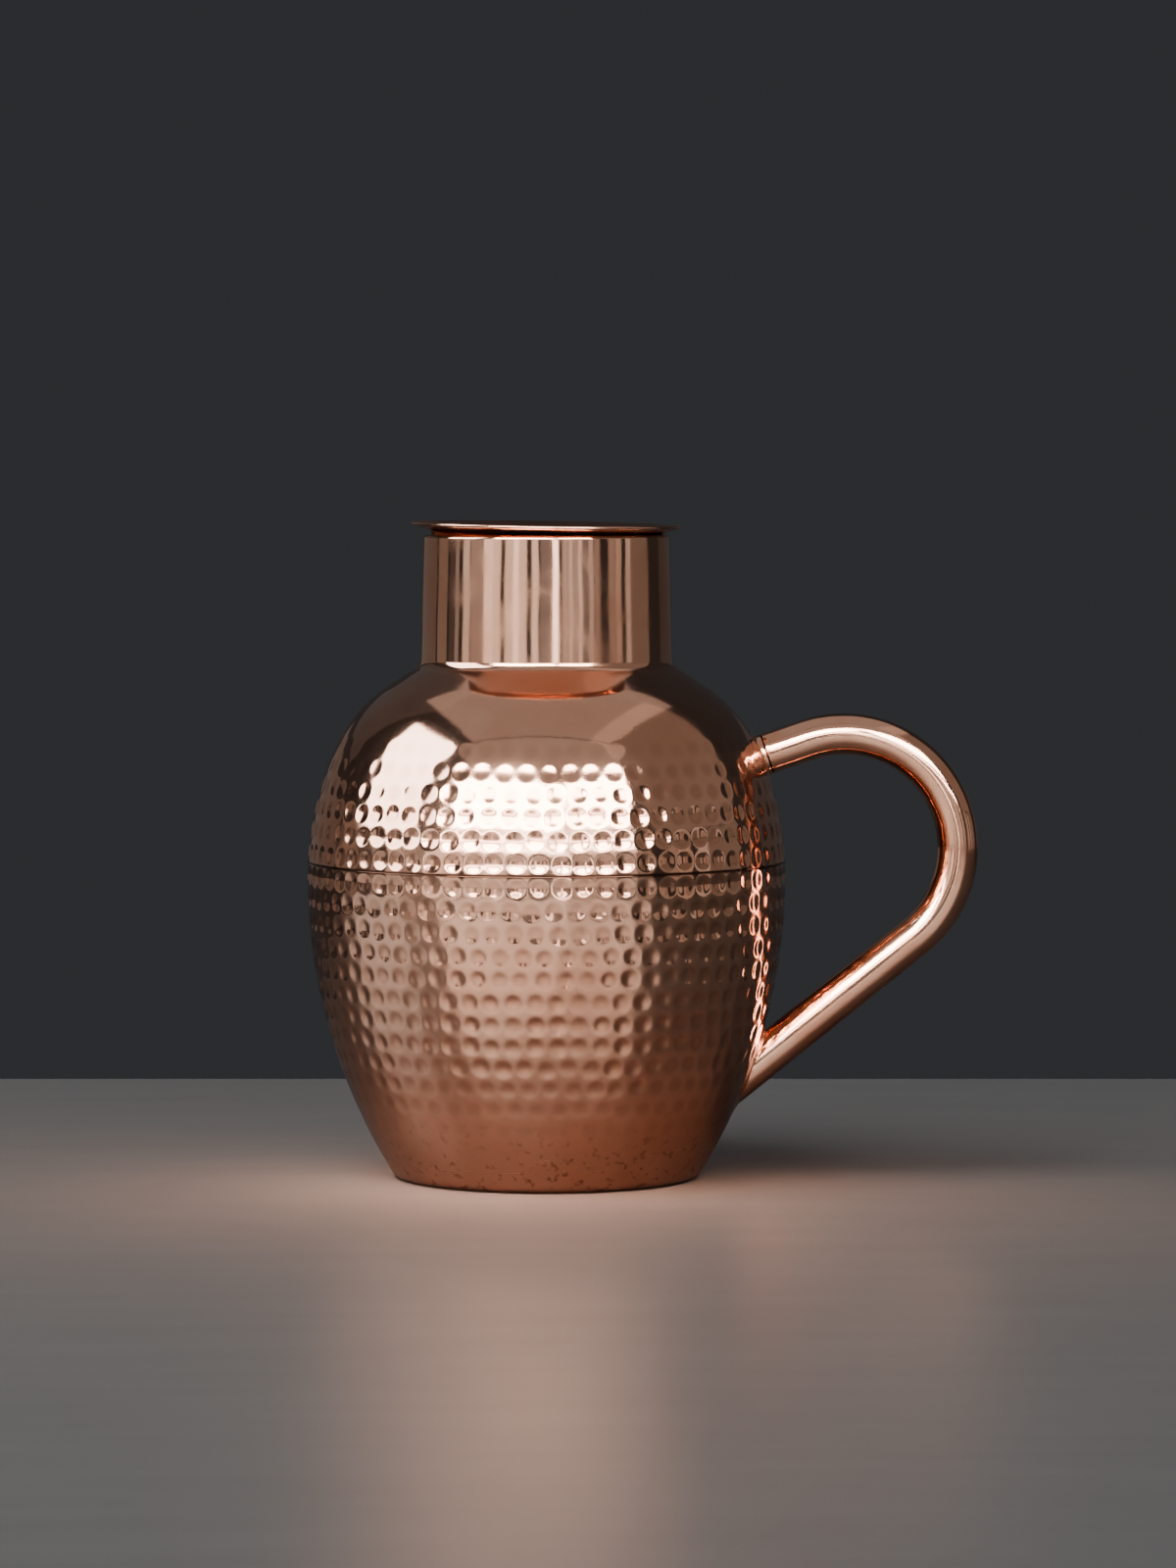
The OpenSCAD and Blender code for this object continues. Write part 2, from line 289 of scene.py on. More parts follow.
def resampled(points, steps):
    """The same outline with points at equal distances, and each point's distance from the first."""
    reach = [0.0]
    for a, b in zip(points, points[1:]):
        reach.append(reach[-1] + (b - a).length)
    found = []
    k = 0
    for i in range(steps + 1):
        want = reach[-1] * i / steps
        while k < len(points) - 2 and reach[k + 1] < want:
            k += 1
        span = max(reach[k + 1] - reach[k], SHORTEST)
        found.append((points[k].lerp(points[k + 1], (want - reach[k]) / span), want))
    return found


class Outline:
    """Outline of the shells, worked out from the body's and the neck's settings."""

    def __init__(self, scene):
        body, neck = scene.jug_body, scene.jug_neck
        self.body = body
        self.neck = neck
        reach_in = body.belly_r - body.foot_r
        self.belly_z = body.seam_z - body.seam_rise
        reach_up = self.belly_z - body.foot_round
        self.flank_r = (reach_in ** 2 + reach_up ** 2 - body.foot_round ** 2) / (
            2 * (reach_in - body.foot_round))
        self.flank_c = Vector((body.belly_r - self.flank_r, self.belly_z))
        self.foot_c = Vector((body.foot_r, body.foot_round))
        self.flank_turn = math.atan2(reach_up, body.foot_r - self.flank_c.x)
        self.upper_c = Vector((body.belly_r - body.upper_r, self.belly_z))
        self.shoulder_c = self.upper_c + (body.upper_r - body.shoulder_r) * heading(body.upper_turn)
        self.cone_start = self.shoulder_c + body.shoulder_r * heading(body.shoulder_turn)
        fillet_x = neck.foot_r + neck.fillet
        self.fillet_c = Vector((fillet_x, self.cone_z(fillet_x, -neck.fillet)))
        self.seam_r = fillet_x - neck.fillet * math.cos(body.shoulder_turn) + neck.skirt_w
        self.bead_c = Vector((neck.top_r - neck.bead_r,
                              self.cone_z(neck.foot_r, 0) + neck.height - neck.bead_r))

    def cone_z(self, radius, inset):
        """Height of the cone under the neck at a radius, a distance in from its outer face."""
        turn = self.body.shoulder_turn
        return self.cone_start.y + (self.cone_start.x - radius) / math.tan(turn) - inset / math.sin(turn)

    def turn_at(self, z, inset=0.0):
        """Angle round the upper flank's curve, a distance in from its outer face, at a height."""
        return math.asin((z - self.belly_z) / (self.body.upper_r - inset))

    def upper_radius(self, z, inset=0.0):
        """Radius of the upper flank at a height, a distance in from its outer face."""
        return self.upper_c.x + math.sqrt((self.body.upper_r - inset) ** 2 - (z - self.belly_z) ** 2)

    def body_radius(self, z):
        """Outside radius of the two shells at a height."""
        body = self.body
        if z < self.foot_c.y - body.foot_round * math.sin(self.flank_turn):
            drop = min(self.foot_c.y - z, body.foot_round)
            return self.foot_c.x + math.sqrt(body.foot_round ** 2 - drop ** 2)
        if z < self.belly_z:
            return self.flank_c.x + math.sqrt(self.flank_r ** 2 - (z - self.flank_c.y) ** 2)
        if z < self.shoulder_c.y + body.shoulder_r * math.sin(body.upper_turn):
            return self.upper_radius(z)
        if z < self.cone_start.y:
            return self.shoulder_c.x + math.sqrt(body.shoulder_r ** 2 - (z - self.shoulder_c.y) ** 2)
        return self.cone_start.x - (z - self.cone_start.y) * math.tan(body.shoulder_turn)

    def outside(self, point):
        """How far a point lies outside the shells, level with itself."""
        return math.hypot(point.x, point.y) - self.body_radius(point.z)


def where_it_meets(outline, start, direction, reach):
    """Distance along a ray from outside to the body's outer face, by halving."""
    near, far = 0.0, reach
    for _ in range(HALVINGS):
        middle = (near + far) / 2
        if outline.outside(start + middle * direction) > 0:
            near = middle
        else:
            far = middle
    return near


# ---------------------------------------------------------------- meshes

def mesh_object(name, points, faces, held=None):
    """A closed, smooth-shaded mesh object at the origin, its normals pointing outwards.
    held gives values that its points carry, by name."""
    mesh = bpy.data.meshes.new(name)
    mesh.from_pydata([tuple(p) for p in points], [], faces)
    for key, values in (held or {}).items():
        mesh.attributes.new(key, "FLOAT", "POINT").data.foreach_set("value", values)
    shape = bmesh.new()
    shape.from_mesh(mesh)
    bmesh.ops.remove_doubles(shape, verts=shape.verts, dist=MERGE)
    bmesh.ops.recalc_face_normals(shape, faces=shape.faces)
    shape.to_mesh(mesh)
    shape.free()
    mesh.shade_smooth()
    mesh.set_sharp_from_angle(angle=CREASE)
    made = bpy.data.objects.new(name, mesh)
    bpy.context.scene.collection.objects.link(made)
    return made


def loop_faces(rings, sides, closed):
    """Quads between rings of points, and from the last ring back to the first if closed."""
    faces = []
    for r in range(rings if closed else rings - 1):
        low, high = r * sides, (r + 1) % rings * sides
        for s in range(sides):
            t = (s + 1) % sides
            faces.append((low + s, low + t, high + t, high + s))
    return faces


def revolved(name, points, sides, closed=True, ripple=None, rings=None):
    """Turns an outline of radius and height about the upright axis. An open one starts and ends on the axis.
    ripple gives a small change of radius at an angle and a height; rings holds values for each ring."""
    hoops = [p for p in points if closed or p.x > ON_AXIS]
    verts = []
    for p in hoops:
        for s in range(sides):
            a = math.tau * s / sides
            r = p.x + (ripple(a, p) if ripple else 0.0)
            verts.append(Vector((r * math.cos(a), r * math.sin(a), p.y)))
    faces = loop_faces(len(hoops), sides, closed)
    if not closed:
        for end, first in ((points[0], 0), (points[-1], (len(hoops) - 1) * sides)):
            verts.append(Vector((0, 0, end.y)))
            tip = len(verts) - 1
            faces += [(first + s, first + (s + 1) % sides, tip) for s in range(sides)]
    held = {key: [v for v in values for _ in range(sides)] for key, values in (rings or {}).items()}
    return mesh_object(name, verts, faces, held)


def finished(piece, body, slot, nodes, *materials):
    """Gives a piece its materials, hangs it on its body's empty and hides the parts that it stands in for."""
    piece.data.materials.clear()
    for material in materials:
        piece.data.materials.append(material)
    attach(piece, body)
    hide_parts(*nodes)
    return piece


# ---------------------------------------------------------------- node building

class Tree:
    """Short hand for adding and joining the nodes of one tree."""

    def __init__(self, tree):
        self.tree = tree

    def add(self, kind, *inputs, **settings):
        """Adds a node. Inputs are sockets, numbers, vectors or None, in order."""
        node = self.tree.nodes.new(kind)
        for key, value in settings.items():
            setattr(node, key, value)
        for place, value in enumerate(inputs):
            self.feed(node.inputs[place], value)
        return node

    def feed(self, socket, value):
        """Links a socket to another, or gives it a plain value."""
        if value is None:
            return
        if isinstance(value, bpy.types.NodeSocket):
            self.tree.links.new(value, socket)
        else:
            socket.default_value = value

    def math(self, operation, *inputs):
        """A math node's result."""
        return self.add("ShaderNodeMath", *inputs, operation=operation).outputs[0]

    def plus(self, first, second):
        """Two values added."""
        return self.math("ADD", first, second)

    def minus(self, first, second):
        """The second value taken from the first."""
        return self.math("SUBTRACT", first, second)

    def times(self, first, second):
        """Two values multiplied."""
        return self.math("MULTIPLY", first, second)

    def divided(self, first, second):
        """The first value divided by the second."""
        return self.math("DIVIDE", first, second)

    def long_side(self, first, second):
        """The long side of a right-angled triangle, from its two short ones."""
        return self.math("SQRT", self.plus(self.times(first, first), self.times(second, second)))

    def vector(self, operation, *inputs):
        """A vector math node's result."""
        return self.add("ShaderNodeVectorMath", *inputs, operation=operation).outputs[0]

    def length(self, vector):
        """The length of a vector."""
        return self.add("ShaderNodeVectorMath", vector, operation="LENGTH").outputs["Value"]

    def blend(self, factor, first, second):
        """A colour between two."""
        node = self.add("ShaderNodeMix", data_type="RGBA")
        self.feed(node.inputs["Factor"], factor)
        self.feed(node.inputs[6], first)
        self.feed(node.inputs[7], second)
        return node.outputs[2]

    def ramp(self, value, low, high):
        """A value carried from a range to 0 to 1, smoothly and held at the ends."""
        node = self.add("ShaderNodeMapRange", value, low, high, 0.0, 1.0, interpolation_type="SMOOTHSTEP")
        return node.outputs[0]

    def noise(self, place, scale, detail, **others):
        """A noise texture's value at a place. Its other inputs are given by name, and W is a fourth way."""
        node = self.add("ShaderNodeTexNoise", place, noise_dimensions="4D" if "W" in others else "3D")
        for name, value in {"Scale": scale, "Detail": detail, **others}.items():
            self.feed(node.inputs[name], value)
        return node.outputs[0]

    def stretched(self, place, scale, turn=(0, 0, 0)):
        """A place turned and stretched, for a pattern that is longer one way."""
        node = self.add("ShaderNodeMapping", place)
        node.inputs["Rotation"].default_value = turn
        node.inputs["Scale"].default_value = scale
        return node.outputs[0]

    def on_piece(self):
        """The place on the piece, in its own coordinates."""
        return self.add("ShaderNodeTexCoord").outputs["Object"]

    def carried(self, name):
        """A value that the piece's points carry."""
        return self.add("ShaderNodeAttribute", attribute_name=name).outputs["Fac"]


def group(name, inputs, outputs):
    """A shader node group with named inputs (name, kind, value) and outputs (name, kind)."""
    tree = bpy.data.node_groups.new(name, "ShaderNodeTree")
    for label, kind, value in inputs:
        socket = tree.interface.new_socket(label, in_out="INPUT", socket_type="NodeSocket" + kind)
        socket.default_value = value
    for label, kind in outputs:
        tree.interface.new_socket(label, in_out="OUTPUT", socket_type="NodeSocket" + kind)
    make = Tree(tree)
    return make, make.add("NodeGroupInput").outputs, make.add("NodeGroupOutput").inputs


def rgba(three):
    """A colour with full alpha."""
    return (*three, 1.0)


# ---------------------------------------------------------------- effects in the materials

def tone_group(name="Copper tone"):
    """Cloudy change between two copper colours, and a mask of faint stains."""
    make, given, result = group(name, [
        ("Bright", "Color", (1, 1, 1, 1)), ("Warm", "Color", (1, 1, 1, 1)),
        ("Scale", "Float", 30.0), ("Amount", "Float", 0.5)],
        [("Color", "Color"), ("Cloud", "Float")])
    cloud = make.ramp(make.noise(make.on_piece(), given["Scale"], 5.0, Roughness=0.6), 0.35, 0.70)
    make.feed(result["Color"], make.blend(make.times(cloud, given["Amount"]), given["Bright"], given["Warm"]))
    make.feed(result["Cloud"], cloud)
    return make.tree


def polish_group(name="Polish lines"):
    """Fine lines that run round the upright axis, as a spinning wheel leaves them, broken up by length."""
    make, given, result = group(name, [("Lines per metre", "Float", 2500.0), ("Seed", "Float", 0.0)],
                                [("Height", "Float"), ("Wear", "Float")])
    place = make.on_piece()
    parts = make.add("ShaderNodeSeparateXYZ", place).outputs
    turn = make.math("ARCTAN2", parts[1], parts[0])
    reach = make.long_side(parts[0], parts[1])
    along = make.times(make.plus(parts[2], make.times(reach, -0.7)), given["Lines per metre"])
    spot = make.add("ShaderNodeCombineXYZ", along, make.math("COSINE", turn), make.math("SINE", turn))
    make.feed(result["Height"], make.noise(spot.outputs[0], 1.0, 3.0, W=given["Seed"]))
    make.feed(result["Wear"], make.ramp(make.noise(place, 45.0, 2.0), 0.35, 0.65))
    return make.tree


def handling_group(name="Handling"):
    """Smudges and fine scratches from hands and cloths: a mask for roughness and a height."""
    make, given, result = group(name, [("Smudge scale", "Float", 60.0), ("Scratch scale", "Float", 900.0)],
                                [("Smudge", "Float"), ("Scratch", "Float")])
    place = make.on_piece()
    smudge = make.noise(place, given["Smudge scale"], 6.0, Distortion=0.8)
    drawn_out = make.stretched(place, (1.0, 0.06, 1.0), (0.5, 0.9, 0.3))
    scratch = make.noise(drawn_out, given["Scratch scale"], 2.0)
    make.feed(result["Smudge"], make.ramp(smudge, 0.42, 0.72))
    make.feed(result["Scratch"], make.ramp(scratch, 0.60, 0.72))
    return make.tree


def foot_group(name="Foot mottle"):
    """Mask that rises towards the foot, broken into fine dark flecks."""
    make, given, result = group(name, [("Top", "Float", 0.016), ("Fleck scale", "Float", 420.0)],
                                [("Band", "Float"), ("Flecks", "Float")])
    place = make.on_piece()
    height = make.add("ShaderNodeSeparateXYZ", place).outputs[2]
    band = make.minus(1.0, make.ramp(make.divided(height, given["Top"]), 0.15, 1.0))
    flecks = make.ramp(make.noise(place, given["Fleck scale"], 4.0), 0.56, 0.70)
    make.feed(result["Band"], band)
    make.feed(result["Flecks"], make.times(band, flecks))
    return make.tree


def seam_shade_group(name="Joint seam shade"):
    """A colour painted darker, as shade, in the groove of a seam. Its mask input says where."""
    make, given, result = group(name, [
        ("Color", "Color", (1, 1, 1, 1)), ("Dark", "Color", (0, 0, 0, 1)),
        ("Grime", "Float", 0.0), ("Amount", "Float", SEAM_SHADE_AMOUNT)],
        [("Color", "Color")])
    amount = make.times(given["Grime"], given["Amount"])
    make.feed(result["Color"], make.blend(amount, given["Color"], given["Dark"]))
    return make.tree


EFFECTS = {"Copper tone": tone_group, "Polish lines": polish_group, "Handling": handling_group,
           "Foot mottle": foot_group, "Joint seam shade": seam_shade_group}


def effect(make, name, **values):
    """Places an effect's group in a material, with its own values. Underscores stand for spaces."""
    tree = bpy.data.node_groups.get(name) or EFFECTS[name]()
    node = make.add("ShaderNodeGroup", node_tree=tree)
    for key, value in values.items():
        make.feed(node.inputs[key.replace("_", " ")], value)
    return node.outputs


# ---------------------------------------------------------------- materials

def started(name):
    """A new material with its tree, its Principled shader, and copper's plain settings on that."""
    material = bpy.data.materials.new(name)
    material.use_nodes = True
    make = Tree(material.node_tree)
    shader = material.node_tree.nodes["Principled BSDF"]
    shader.inputs["Metallic"].default_value = 1.0
    shader.inputs["IOR"].default_value = 1.5
    return material, make, shader


def bumped(make, shader, height, strength, distance):
    """Feeds a height to the shader's normal."""
    bump = make.add("ShaderNodeBump")
    bump.inputs["Strength"].default_value = strength
    bump.inputs["Distance"].default_value = distance
    make.feed(bump.inputs["Height"], height)
    make.feed(shader.inputs["Normal"], bump.outputs[0])


def darkened(make, copper, colour_):
    """A colour with painted shade in the seam grooves, where the points carry its mask."""
    darkest = rgba([SEAM_SHADE_DARKNESS * c for c in copper.dark])
    return effect(make, "Joint seam shade", Color=colour_, Dark=darkest, Grime=make.carried("seam_shade"))["Color"]


def hammered_copper(copper):
    """Bright lands and slightly duller, deeper coloured hammer marks, mottled at the foot."""
    material, make, shader = started("Hammered copper")
    tone = effect(make, "Copper tone", Bright=rgba(copper.bright), Warm=rgba(copper.warm),
                  Scale=26.0, Amount=0.55)
    foot = effect(make, "Foot mottle", Top=0.026, Fleck_scale=420.0)
    hand = effect(make, "Handling", Smudge_scale=38.0, Scratch_scale=700.0)
    lines = effect(make, "Polish lines", Lines_per_metre=1800.0, Seed=2.0)
    mark = make.carried("mark")
    rim = make.times(mark, make.minus(1.0, mark))
    colour_ = make.blend(make.times(mark, 0.35), tone["Color"], rgba(copper.warm))
    colour_ = make.blend(make.times(rim, 0.9), colour_, rgba(copper.dark))
    colour_ = make.blend(make.times(foot["Band"], 0.45), colour_, rgba(copper.dark))
    colour_ = make.blend(make.times(foot["Flecks"], 0.75), colour_, rgba(copper.dark))
    # Painted shade darkens the groove of the seam between the shells.
    make.feed(shader.inputs["Base Color"], darkened(make, copper, colour_))
    rough = make.plus(make.times(hand["Smudge"], 0.05), copper.hammered)
    rough = make.plus(rough, make.times(foot["Band"], 0.20))
    make.feed(shader.inputs["Roughness"], make.plus(rough, make.times(mark, 0.02)))
    height = make.plus(make.times(lines["Height"], 0.5), make.times(hand["Scratch"], -0.35))
    bumped(make, shader, height, strength=0.22, distance=0.00005)
    return material


def spun_copper(name, copper, roughness, line_depth, seed, warm_amount):
    """Mirror-like copper with fine lines that run round it, as on the neck and the tumbler."""
    material, make, shader = started(name)
    tone = effect(make, "Copper tone", Bright=rgba(copper.bright), Warm=rgba(copper.warm),
                  Scale=34.0, Amount=warm_amount)
    hand = effect(make, "Handling", Smudge_scale=75.0, Scratch_scale=1100.0)
    lines = effect(make, "Polish lines", Lines_per_metre=2600.0, Seed=seed)
    colour_ = make.blend(make.times(hand["Smudge"], 0.25), tone["Color"], rgba(copper.warm))
    make.feed(shader.inputs["Base Color"], colour_)
    wear = make.times(lines["Wear"], 0.03)
    smudge = make.times(hand["Smudge"], 0.07)
    make.feed(shader.inputs["Roughness"], make.plus(make.plus(wear, smudge), roughness))
    height = make.plus(lines["Height"], make.times(hand["Scratch"], -0.3))
    bumped(make, shader, height, strength=line_depth, distance=0.00004)
    return material


def tube_copper(copper):
    """Drawn and buffed tube: softer gloss, with grain along it and smudges from the hand."""
    material, make, shader = started("Handle copper")
    tone = effect(make, "Copper tone", Bright=rgba(copper.bright), Warm=rgba(copper.warm),
                  Scale=40.0, Amount=0.6)
    hand = effect(make, "Handling", Smudge_scale=55.0, Scratch_scale=1500.0)
    grain_at = make.add("ShaderNodeCombineXYZ", *[make.carried(name) for name in GRAIN]).outputs[0]
    grain = make.noise(make.vector("MULTIPLY", grain_at, (60, 14, 14)), 1.0, 3.0)
    colour_ = make.blend(make.times(hand["Smudge"], 0.4), tone["Color"], rgba(copper.warm))
    # Painted shade darkens the groove between the tube and the boss.
    make.feed(shader.inputs["Base Color"], darkened(make, copper, colour_))
    make.feed(shader.inputs["Roughness"], make.plus(make.times(hand["Smudge"], 0.06), copper.buffed))
    height = make.plus(grain, make.times(hand["Scratch"], -0.4))
    bumped(make, shader, height, strength=0.25, distance=0.00005)
    return material


def filler_metal(copper):
    """Brazing filler: paler, softer in gloss and slightly rippled, with a dark edge of flux stain."""
    material, make, shader = started("Filler metal")
    tone = effect(make, "Copper tone", Bright=rgba(copper.filler), Warm=rgba(copper.warm),
                  Scale=160.0, Amount=0.7)
    ripple = make.noise(make.on_piece(), 500.0, 2.0)
    stain = make.times(make.ramp(ripple, 0.55, 0.75), 0.35)
    make.feed(shader.inputs["Base Color"], make.blend(stain, tone["Color"], rgba(copper.dark)))
    make.feed(shader.inputs["Roughness"], make.plus(make.times(tone["Cloud"], 0.1), 0.20))
    bumped(make, shader, ripple, strength=0.12, distance=0.00008)
    return material


def inner_copper(copper):
    """Unpolished copper inside the body and under the foot: dull, brown and stained."""
    material, make, shader = started("Inner copper")
    tone = effect(make, "Copper tone", Bright=rgba(copper.warm), Warm=rgba(copper.dark),
                  Scale=48.0, Amount=0.7)
    hand = effect(make, "Handling", Smudge_scale=30.0, Scratch_scale=600.0)
    lines = effect(make, "Polish lines", Lines_per_metre=1300.0, Seed=9.0)
    make.feed(shader.inputs["Base Color"], tone["Color"])
    make.feed(shader.inputs["Roughness"], make.plus(make.times(hand["Smudge"], 0.2), 0.28))
    bumped(make, shader, lines["Height"], strength=0.4, distance=0.00006)
    return material


def floor_stone(stage):
    """Pale, plain floor with a faint grain. The polish sees it dimmer than the eye does."""
    material, make, shader = started("Pale floor")
    shader.inputs["Metallic"].default_value = 0.0
    grain = make.noise(make.stretched(make.on_piece(), (1.0, 4.0, 1.0)), 12.0, 8.0)
    darker = [0.86 * c for c in stage.floor]
    pale = make.blend(grain, rgba(stage.floor), rgba(darker))
    dim = rgba([stage.floor_dim * c for c in stage.floor])
    seen = make.add("ShaderNodeLightPath").outputs["Is Camera Ray"]
    make.feed(shader.inputs["Base Color"], make.blend(seen, dim, pale))
    shader.inputs["Roughness"].default_value = 0.40
    shader.inputs["Specular IOR Level"].default_value = 0.18
    return material


def neck_copper(copper):
    """The neck: the brightest polish."""
    return spun_copper("Neck copper", copper, copper.polished, line_depth=0.20, seed=1.0, warm_amount=0.35)


def tumbler_copper(copper):
    """The tumbler: a little duller and warmer."""
    return spun_copper("Tumbler copper", copper, copper.polished + TUMBLER_DULLER, line_depth=0.30, seed=4.0,
                       warm_amount=0.55)


FINISHES = {"Hammered copper": hammered_copper, "Neck copper": neck_copper, "Tumbler copper": tumbler_copper,
            "Handle copper": tube_copper, "Filler metal": filler_metal, "Inner copper": inner_copper}


def finish_of(name):
    """The material of that name, made the first time it is asked for."""
    return bpy.data.materials.get(name) or FINISHES[name](bpy.context.scene.jug_copper)


# ---------------------------------------------------------------- hammer marks

def hammer_tree():
    """Geometry Nodes tree that sinks rows of round marks into a revolved shell.
    Every point carries: reach, its distance along the sheet from the seam; row and row_r, its row's
    number and that row's radius; and hammered, how deep the marks are there, from 0 to 1."""
    tree = bpy.data.node_groups.new("Hammer marks", "GeometryNodeTree")
    tree.interface.new_socket("Geometry", in_out="INPUT", socket_type="NodeSocketGeometry")
    for label in ("Mark width", "Mark depth", "Pitch", "Row pitch", "First row", "Stray", "Wave"):
        tree.interface.new_socket(label, in_out="INPUT", socket_type="NodeSocketFloat")
    tree.interface.new_socket("Seed", in_out="INPUT", socket_type="NodeSocketInt")
    tree.interface.new_socket("Material", in_out="INPUT", socket_type="NodeSocketMaterial")
    tree.interface.new_socket("Geometry", in_out="OUTPUT", socket_type="NodeSocketGeometry")
    make = Tree(tree)
    given = make.add("NodeGroupInput").outputs
    result = make.add("NodeGroupOutput").inputs

    def held(name):
        """A value that the points carry."""
        return make.add("GeometryNodeInputNamedAttribute", name, data_type="FLOAT").outputs[0]

    def chance(low, high, number_, seed):
        """A random vector, the same for all points of one mark."""
        node = make.add("FunctionNodeRandomValue", data_type="FLOAT_VECTOR")
        node.inputs[0].default_value = (low,) * 3
        node.inputs[1].default_value = (high,) * 3
        make.feed(node.inputs["ID"], number_)
        make.feed(node.inputs["Seed"], seed)
        return make.add("ShaderNodeSeparateXYZ", node.outputs[0]).outputs

    place = make.add("GeometryNodeInputPosition").outputs[0]
    parts = make.add("ShaderNodeSeparateXYZ", place).outputs
    radius = make.length(make.vector("MULTIPLY", place, (1, 1, 0)))
    row, row_r = held("row"), held("row_r")
    in_row = make.math("ROUND", make.divided(make.times(row_r, math.tau), given["Pitch"]))
    phase = chance(0, 1, make.plus(row, 100.0), given["Seed"])
    turn = make.divided(make.math("ARCTAN2", parts[1], parts[0]), math.tau)
    along = make.times(make.plus(turn, phase[0]), in_row)
    cell = make.math("FLOORED_MODULO", make.math("FLOOR", along), in_row)
    number_ = make.plus(make.times(row, ROW_APART), cell)
    stray = chance(-1, 1, number_, given["Seed"])
    size = chance(-1, 1, number_, make.plus(given["Seed"], 1.0))

    step = make.divided(make.times(radius, math.tau), in_row)
    across = make.times(make.minus(make.math("FRACT", along), 0.5), step)
    across = make.minus(across, make.times(stray[0], given["Stray"]))
    row_at = make.plus(make.times(row, given["Row pitch"]), given["First row"])
    down = make.minus(held("reach"), row_at)
    down = make.minus(down, make.times(stray[1], given["Stray"]))
    mark_r = make.times(given["Mark width"], make.plus(0.5, make.times(size[0], MARK_WIDTH_SPREAD)))
    away = make.divided(make.long_side(across, down), mark_r)
    bowl = make.math("MAXIMUM", make.minus(1.0, make.times(away, away)), 0.0)
    bowl = make.math("POWER", bowl, BOWL_POWER)
    depth = make.plus(1.0, make.times(size[1], MARK_DEPTH_SPREAD))
    mark = make.times(make.times(bowl, held("hammered")), depth)

    sway = make.times(make.times(make.noise(place, 55.0, 1.0), given["Wave"]), held("waved"))
    sunk = make.plus(make.times(mark, given["Mark depth"]), sway)
    normal = make.add("GeometryNodeInputNormal").outputs[0]
    shift = make.add("ShaderNodeVectorMath", normal, operation="SCALE")
    make.feed(shift.inputs["Scale"], make.times(sunk, -1.0))

    stored = make.add("GeometryNodeStoreNamedAttribute", given["Geometry"], data_type="FLOAT",
                      domain="POINT")
    stored.inputs["Name"].default_value = "mark"
    make.feed(stored.inputs["Value"], mark)
    moved = make.add("GeometryNodeSetPosition", stored.outputs[0])
    make.feed(moved.inputs["Offset"], shift.outputs[0])
    real = make.add("GeometryNodeRealizeInstances", moved.outputs[0])
    coated = make.add("GeometryNodeSetMaterial", real.outputs[0])
    make.feed(coated.inputs["Material"], given["Material"])
    make.feed(result["Geometry"], coated.outputs[0])
    return tree


def hammer(piece, hammering, finish):
    """Puts the marks into a shell and leaves a plain mesh."""
    tree = bpy.data.node_groups.get("Hammer marks") or hammer_tree()
    values = {"Mark width": hammering.mark_d, "Mark depth": hammering.depth, "Pitch": hammering.pitch,
              "Row pitch": hammering.row_pitch, "First row": hammering.first_row, "Stray": hammering.stray,
              "Wave": hammering.wave, "Seed": hammering.seed, "Material": finish}
    modifier = piece.modifiers.new("Hammer marks", "NODES")
    modifier.node_group = tree
    for item in tree.interface.items_tree:
        if item.in_out == "INPUT" and item.name in values:
            modifier[item.identifier] = values[item.name]
    return made_plain(piece)


def made_plain(piece):
    """Applies what a piece's modifiers make of it, as a plain mesh, and removes them."""
    seen = piece.evaluated_get(bpy.context.evaluated_depsgraph_get())
    mesh = bpy.data.meshes.new_from_object(seen)
    piece.modifiers.clear()
    old = piece.data
    piece.data = mesh
    bpy.data.meshes.remove(old)
    mesh.name = piece.name
    return piece


def hammered_shell(name, skin, rest, sides, rows, faint_rows, scene):
    """A shell as one closed mesh. skin is its outer face from the seam onwards, evenly spaced, as
    (point, reach); rest closes the outline round the inside. Marks fade over its last few rows."""
    hammering = scene.jug_hammer
    radius_at = radius_along(skin)
    outline = [p for p, _ in skin] + rest
    last = hammering.first_row + (rows - 1) * hammering.row_pitch
    fade = faint_rows * hammering.row_pitch
    rings = {"reach": [], "row": [], "row_r": [], "hammered": [], "waved": [], "seam_shade": []}
    for k, point in enumerate(outline):
        on_skin = k < len(skin)
        reach = skin[k][1] if on_skin else 0.0
        row = max(0, min(rows - 1, round((reach - hammering.first_row) / hammering.row_pitch)))
        row_at = hammering.first_row + row * hammering.row_pitch
        strength = min(1.0, (last + 0.6 * hammering.row_pitch - row_at) / fade) ** hammering.fade_power
        rings["reach"].append(reach)
        rings["row"].append(float(row))
        rings["row_r"].append(radius_at(row_at))
        rings["hammered"].append(strength if on_skin else 0.0)
        rings["waved"].append(calm(reach, last) if on_skin else 0.0)
        # Painted shade: the seam's groove, at the first point of the skin and round the rubbed edge, is
        # painted dark.
        rings["seam_shade"].append(1.0 if k == 0 or k >= len(outline) - EDGE_STEPS else 0.0)
    piece = revolved(name, outline, sides, rings=rings)
    return hammer(piece, hammering, finish_of("Hammered copper"))


def calm(reach, last):
    """How much of the slow unevenness a point gets: none at the seam, all over the rows, none past them."""
    rise = min(1.0, reach / WAVE_RISE)
    fall = min(1.0, max(0.0, (last + WAVE_RUN_ON - reach) / WAVE_FALL))
    return rise * fall


# ---------------------------------------------------------------- pieces of the body

